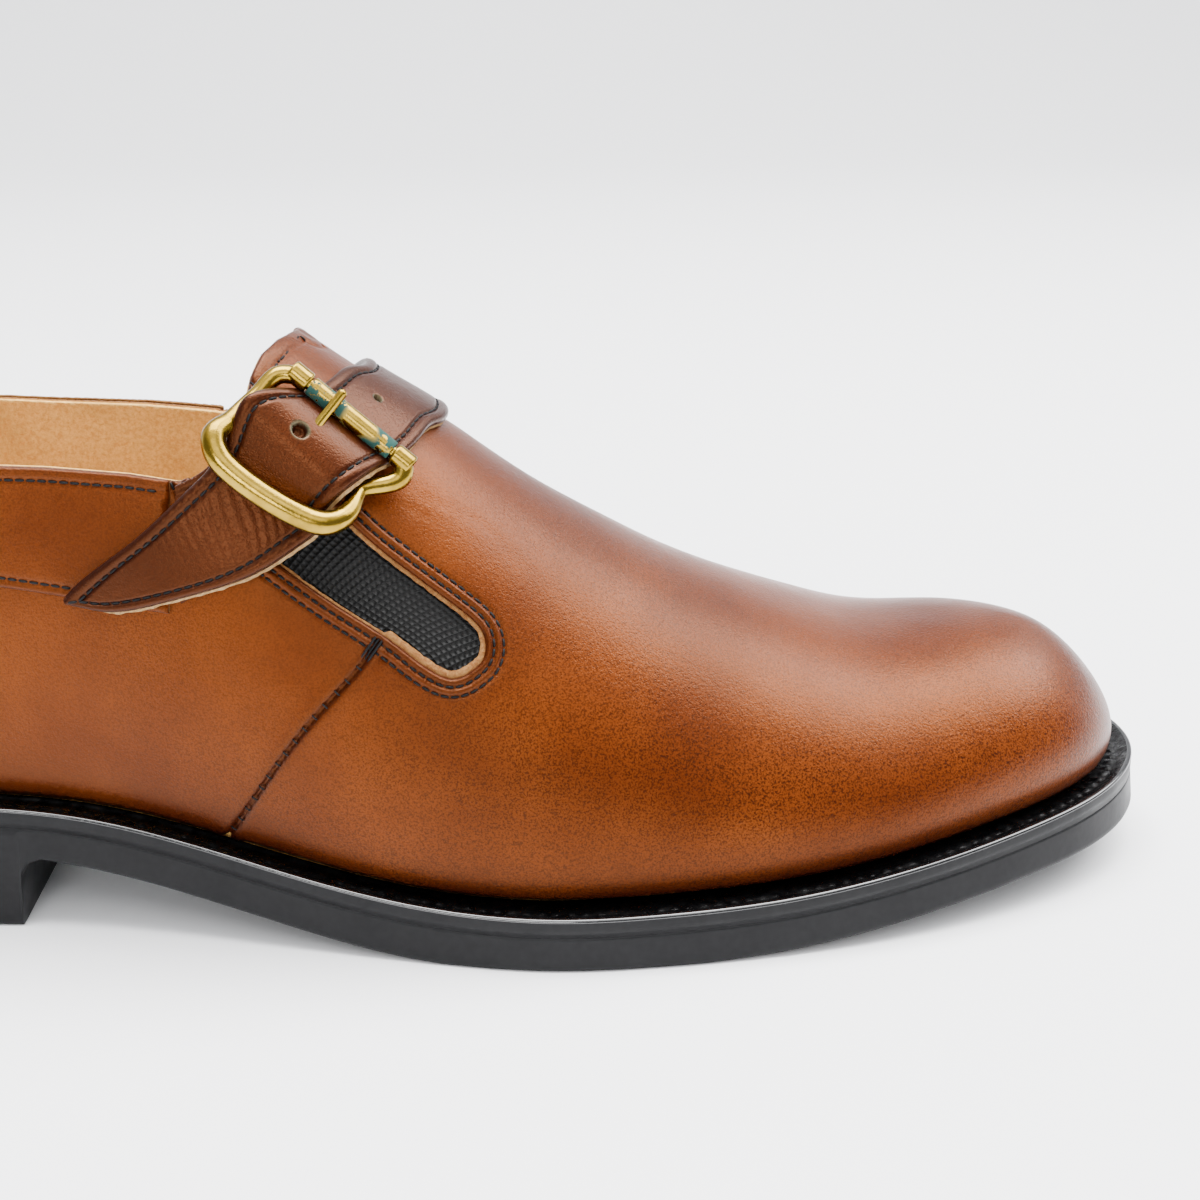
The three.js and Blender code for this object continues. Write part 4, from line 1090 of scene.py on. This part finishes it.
def make_welt():
    side = np.linspace(0, 1, 901)
    turns = np.r_[side, side[-2:0:-1]]
    outer = np.arange(len(turns)) < len(side)
    centre = outline(turns, outer, WHEEL["inset"])
    arc = arc_of(centre)
    total = arc[-1] + np.linalg.norm(centre[0] - centre[-1])
    wheel = np.abs(np.sin(np.pi * (arc / total * round(total / WHEEL["pitch"])))) ** WHEEL["sharp"]
    inner = welt_width(station_at(turns))
    rows = list(zip(*WELT_PROFILE.values()))
    rows += [(inset, WHEEL["floor"] + height * wheel) for inset, height in zip(*WELT_GROOVE.values())]
    rows += [(np.maximum(inner - 0.6, 5.7), -0.42), (np.maximum(inner - 0.1, 6.0), -0.5)]
    rows += [(inner + 4.0, -0.4), (inner + 4.0, -3.0)]
    points = []
    for inset, height in rows:
        spot = outline(turns, outer, inset)
        points.append(np.column_stack([spot, top_z(spot[:, 0]) + height]))
    faces = rows_to_faces(len(turns), len(rows), closed_rows=True)
    column = faces[:, 0] % len(rows)
    kinds = np.where(column < WELT_ROWS["side"], 0, np.where(column < WELT_ROWS["bead"], 1, 2))
    looks = [RUBBER, BEAD, WELT_LOOK]
    dress("welt_strip", np.stack(points, 1).reshape(-1, 3), faces, looks, "welt", "welt", kinds)


# The sole's cross-section: insets and heights over its bottom, and over its top, under the welt
SOLE_LOW = dict(inset=[0.9, 0.5, 0.15, 0.0], height=[0.0, 0.12, 0.45, 0.95])
SOLE_HIGH = dict(inset=[0.8, 1.0, 1.4, 11.0, 11.0], height=[-3.05, -3.04, -3.3, -3.3, 0.0])


def make_sole():
    near_breast = turn_at(np.r_[BREAST["x"][1:], np.linspace(BREAST["x"][2], BREAST["x"][-1], 8)])
    turns = np.unique(np.r_[np.linspace(0, 1, 420), near_breast])
    bottom = bottom_z(station_at(turns))

    def ring(outer):
        rows = [
            np.column_stack([outline(turns, outer, inset), bottom + height])
            for inset, height in zip(*SOLE_LOW.values())
        ]
        low = outline(turns, outer, SOLE_LOW["inset"][-1])
        high = outline(turns, outer, SOLE_HIGH["inset"][0])
        base = bottom + SOLE_LOW["height"][-1]
        for share in np.linspace(0.1, 0.9, 7):
            spot = low + (high - low) * share
            rise = top_z(spot[:, 0]) + SOLE_HIGH["height"][0] - base
            rows.append(np.column_stack([spot, base + rise * share]))
        for inset, height in zip(*SOLE_HIGH.values()):
            spot = outline(turns, outer, inset)
            rows.append(np.column_stack([spot, top_z(spot[:, 0]) + height]))
        return rows

    lateral, medial = ring(True), ring(False)
    shares = np.linspace(0, 1, 9)[1:-1]
    crown = [lateral[-1] + (medial[-1] - lateral[-1]) * share for share in shares]
    floor = [medial[0] + (lateral[0] - medial[0]) * share for share in shares]
    points = np.stack(lateral + crown + medial[::-1] + floor, 1)
    faces = rows_to_faces(*points.shape[:2])
    dress("sole_block", points.reshape(-1, 3), faces, [RUBBER], "sole_unit", "rubber")


FOOTBED = dict(inset=3.1, under=0.35, rim=1.2, dish=1.2)


def make_footbed():
    turns = np.linspace(0.004, 0.996, 200)
    inset = welt_width(station_at(turns)) + FOOTBED["inset"]
    lateral, medial = (outline(turns, outer, inset)[:, None] for outer in (True, False))
    share = np.linspace(0, 1, 40)
    spots = lateral + (medial - lateral) * share[:, None]
    dish = 1 - (2 * share - 1) ** 8
    height = top_z(spots[..., 0]) + FOOTBED["rim"] + FOOTBED["dish"] * dish
    points = np.concatenate([spots, height[..., None]], -1)
    points[..., 2] += 0.12 * Ripple(31, 18.0)(points)
    under = np.concatenate([spots, top_z(spots[..., :1]) + FOOTBED["under"]], -1)
    faces = rows_to_faces(*points.shape[:2], closed_columns=False)
    sheet("footbed", points, under, faces, LINING_LOOK, "insole", "lining")


GORE = dict(rows=240, columns=70, past=0.12, lift=-1.35, thick=0.8)


def make_gore(side, sign):
    panel = Panel(WINDOW)
    u = np.linspace(0, panel.last, GORE["rows"])[:, None]
    w = np.linspace(-GORE["past"], 1 + GORE["past"], GORE["columns"])
    turn, across = panel.par(u, w)
    flat = skin(turn, sign * across)
    middle = GORE["columns"] // 2
    along = arc_of(flat[:, middle])[:, None] + 0 * w
    over = np.array([arc_of(row) for row in flat])
    over -= over[:, middle : middle + 1]
    lift = GORE["lift"] + 0.1 * Ripple(40, 12.0)(flat)
    face, back = (place(turn, sign * across, lift - depth) for depth in (0.0, GORE["thick"]))
    faces = rows_to_faces(*flat.shape[:2], closed_columns=False)
    faces = faces[below_topline(flat.reshape(-1, 3))[faces].min(1) > 0.3]
    if sign > 0:
        faces = faces[:, ::-1]
    node = "gore_" + side
    sheet(node + "_ribbed", face, back, faces, ELASTIC, node, "elastic", along=along, over=over)


# The raw edge of the window's lining: a thin frayed lip inside the leather, widest past the side seam
LIP = dict(narrow=0.4, wide=1.45, lift=-0.75)
LIP_PROFILE = dict(share=[-0.4, 0.35, 1.0, 1.0, -0.4], drop=[0.0, 0.0, -0.12, -0.45, -0.45])


def make_lip(side, sign):
    line, up, way = frame_of("window", sign)
    arc = arc_of(line)
    seam = skin(*lines["seam", sign])[0]
    past = arc - arc[np.argmin(np.linalg.norm(line - seam, axis=1))]
    wide = ease(past, -0.2, 0.6) * (1 - 0.75 * ease(past, 16.0, 30.0))
    reach = LIP["narrow"] + (LIP["wide"] - LIP["narrow"]) * wide + 0.16 * fray(line * 1.6)
    rows = []
    for share, drop in zip(*LIP_PROFILE.values()):
        width = reach * share if share > 0 else np.full(len(reach), share)
        rows.append(line + way * sign * width[:, None] + up * (LIP["lift"] + drop))
    points = np.stack(rows, 1)[below_topline(line) > 0.5]
    faces = rows_to_faces(*points.shape[:2])
    dress("window_lip_" + side, points.reshape(-1, 3), faces, [RAW_EDGE], "upper", "lining")


# Sewing thread: short stitches laid along a line, each dipping into its holes
class Thread:
    SHAPE = dict(
        along=[0.0, 0.12, 0.35, 0.65, 0.88, 1.0],
        rise=[-0.9, 0.15, 0.6, 0.6, 0.15, -0.9],
        girth=[0.55, 0.9, 1.0, 1.0, 0.9, 0.55],
    )
    SIDES = 7
    GAP = 0.2

    def __init__(self, radius):
        self.radius = radius
        self.points = []

    def stitch(self, start, end, up):
        length = np.linalg.norm(end - start)
        if length < 1e-6:
            return
        way = (end - start) / length
        across = unit(np.cross(way, up))
        up = np.cross(across, way)
        ring = circle(across, up, self.SIDES)
        for along, rise, girth in zip(*self.SHAPE.values()):
            centre = start + way * length * along + up * self.radius * rise
            self.points.append(centre + ring * self.radius * girth)

    def row(self, line, ups, pitch):
        if len(line) < 4:
            return
        arc = arc_of(line)
        marks = np.linspace(0, arc[-1], max(int(round(arc[-1] / pitch)), 1) + 1)
        for a, b in zip(marks[:-1], marks[1:]):
            start, end = (at_arc(t, arc, line) for t in (a + self.GAP / 2, b - self.GAP / 2))
            self.stitch(start, end, at_arc((a + b) / 2, arc, ups))

    def piece(self, name):
        rings = len(self.SHAPE["along"])
        faces = rows_to_faces(rings, self.SIDES)
        starts = np.arange(0, len(self.points), rings) * self.SIDES
        faces = np.concatenate([faces + start for start in starts])
        dress(name, np.concatenate(self.points), faces, [THREAD], None, "strap_leather")


def tree_of(piece):
    mesh = piece.data
    points = np.empty(len(mesh.vertices) * 3)
    mesh.vertices.foreach_get("co", points)
    faces = [list(polygon.vertices) for polygon in mesh.polygons]
    return BVHTree.FromPolygons((points.reshape(-1, 3) / MM).tolist(), faces)


# The places where a line meets the leather under it, with the normals of those that do
def drop_on(tree, line, ups, reach=3.0):
    found = []
    for point, up in zip(line, ups):
        hit = tree.ray_cast(Vector(point + up * reach), Vector(-up), 2 * reach)[0]
        if hit is not None:
            found.append([hit, up])
    found = np.array(found, float).reshape(-1, 2, 3)
    return found[:, 0], found[:, 1]


def make_stitches(upper, band, strip, strap):
    upper_tree, band_tree, strap_tree = (tree_of(piece) for piece in (upper, band, strap))
    thread = Thread(0.24)
    fine_thread = Thread(0.17)
    for sign in SIDES.values():
        line, up, way = frame_of("window", sign)
        for shift in ROWS["window"]:
            thread.row(*drop_on(upper_tree, line - way * (sign * shift), up), PITCH["window"])
        line, up, way = frame_of("edge", sign)
        collar = line[:, 0] < -44
        row = line - way * (sign * ROWS["band_top"])
        thread.row(*drop_on(band_tree, row[collar], up[collar]), PITCH["band"])
        x, _, z = line.T
        tongue = (x > TONGUE_ROW["front"]) & (z > TONGUE_ROW["low"]) & (z < TONGUE_ROW["high"][sign])
        row = line - way * (sign * ROWS["tongue"])
        thread.row(*drop_on(upper_tree, row[tongue], up[tongue]), PITCH["tongue"])
        line, up, way = frame_of("band", sign)
        thread.row(*drop_on(band_tree, line + way * (sign * ROWS["band_low"]), up), PITCH["band"])
        cross_stitches(fine_thread, upper_tree, sign)
        bar_tack(thread, upper_tree, sign)
    u = np.linspace(0.3, strip.last - 0.25, 900)
    inset = np.minimum(ROWS["strap"] / strip.width(u), 0.5)
    for w in (inset, 1 - inset):
        row = drop_on(strap_tree, strip.at(u, w, STRAP_THICK), outward(*strip.par(u, w)), 1.2)
        thread.row(*row, PITCH["strap"])
    thread.piece("stitching")
    fine_thread.piece("seam_stitching")


# The side seam is closed edge to edge by short stitches across it
CROSS = dict(first=6.0, last=3.0, pitch=3.1, half_width=0.7)


def cross_stitches(thread, tree, sign):
    line, up, way = frame_of("seam", sign)
    arc = arc_of(line)
    for s in np.arange(CROSS["first"], arc[-1] - CROSS["last"], CROSS["pitch"]):
        i = np.searchsorted(arc, s)
        half = way[i] * CROSS["half_width"]
        ends, _ = drop_on(tree, np.array([line[i] - half, line[i] + half]), up[[i, i]])
        if len(ends) == 2:
            thread.stitch(*ends, up[i])


# A bar of thread that ties the top of the side seam to the window's edge
TACK = dict(start=-1.0, end=4.0, half_width=0.85, stitches=6, slip=0.5)


def bar_tack(thread, tree, sign):
    line, up, _ = frame_of("seam", sign)
    way = unit(line[4] - line[0])
    ends = line[0] + way * np.array([[TACK["start"]], [TACK["end"]]])
    side = np.cross(way, up[0])
    for shift in np.linspace(-TACK["half_width"], TACK["half_width"], TACK["stitches"]):
        slip = way * TACK["slip"] * np.sin(9 * shift)
        row, _ = drop_on(tree, ends + side * shift + slip, up[[0, 0]])
        if len(row) == 2:
            thread.stitch(*row, up[0])


# A pale floor that curves up into the backdrop, in metres
FLOOR = dict(front=-2.2, bend_from=1.2, bend_radius=0.8, wall=[1.5, 3.0], half=3.5)


def make_floor():
    s = material("pale_floor")
    s.put(Base_Color=(0.93, 0.93, 0.94, 1.0), Roughness=0.6)
    bend = np.linspace(0.1, np.pi / 2, 12)
    back, radius = FLOOR["bend_from"], FLOOR["bend_radius"]
    depth = np.r_[FLOOR["front"], np.linspace(-1, back, 12), back + radius * np.sin(bend), 2.0, 2.0]
    height = np.r_[np.zeros(13), radius * (1 - np.cos(bend)), FLOOR["wall"]]
    points = np.array([[x, y, z] for y, z in zip(depth, height) for x in (-FLOOR["half"], FLOOR["half"])])
    faces = [[2 * i, 2 * i + 1, 2 * i + 3, 2 * i + 2] for i in range(len(depth) - 1)]
    new_object("floor", points / MM, faces, [s.owner])


# Lamps, in metres and watts
LAMPS = dict(
    overhead=dict(at=(0.0, 0.1, 1.45), towards=(0.0, 0.0, 0.05), size=(1.15, 0.9), power=62.0),
    toe_side=dict(at=(0.88, 0.25, 1.08), towards=(0.0, 0.0, 0.05), size=(0.9, 0.8), power=30.0),
    front_low=dict(at=(-0.25, -1.2, 0.47), towards=(0.0, 0.0, 0.05), size=(0.6, 0.3), power=6.5),
    front_wash=dict(at=(0.2, -1.6, 1.6), towards=(0.0, -0.2, 0.0), size=(1.6, 0.8), power=12.0),
)


def area_light(name, at, towards, size, power):
    data = bpy.data.lights.new(name, "AREA")
    data.shape = "RECTANGLE"
    data.size, data.size_y = size
    data.energy = power
    lamp = link(bpy.data.objects.new(name, data))
    lamp.location = at
    lamp.rotation_euler = (Vector(towards) - Vector(at)).to_track_quat("-Z", "Y").to_euler()


# A soft sky: bright overhead and behind the shoe, dim behind the camera
SKY = dict(dim=0.45, bright=3.0)


def make_sky():
    world = bpy.data.worlds.new("studio")
    bpy.context.scene.world = world
    s = Shader(world, "Background")
    way = s.node("ShaderNodeSeparateXYZ", {0: s.where["Generated"]})
    share = s.math("MAXIMUM", s.spread(way["Z"], 0.55, 0.95), s.spread(way["Y"], -0.1, 0.5))
    s.put(Color=(0.96, 0.97, 1.0, 1.0), Strength=s.spread(share, 0.0, 1.0, SKY["dim"], SKY["bright"]))


# The photograph's own view of the shoe, as the camera stood
CAMERA = dict(place=(0.0264199, -0.3453781, 0.1808733), yaw=0.0279788, pitch=0.3522796, lens=54.0)


def make_camera():
    data = bpy.data.cameras.new("camera")
    data.sensor_fit = "HORIZONTAL"
    data.sensor_width = 36.0
    data.lens = CAMERA["lens"]
    data.clip_start = 0.01
    camera = link(bpy.data.objects.new("camera", data))
    camera.location = CAMERA["place"]
    camera.rotation_euler = (np.pi / 2 - CAMERA["pitch"], 0.0, -CAMERA["yaw"])
    bpy.context.scene.camera = camera


make_camera()
upper_leather = make_upper()
make_lining()
collar_band = make_band()
for side, sign in SIDES.items():
    make_gore(side, sign)
    make_lip(side, sign)
strap_strip, monk_strap = make_strap()
make_tab(*make_buckle())
make_welt()
make_sole()
make_footbed()
make_stitches(upper_leather, collar_band, strap_strip, monk_strap)
make_floor()
make_sky()
for name, lamp in LAMPS.items():
    area_light(name, **lamp)
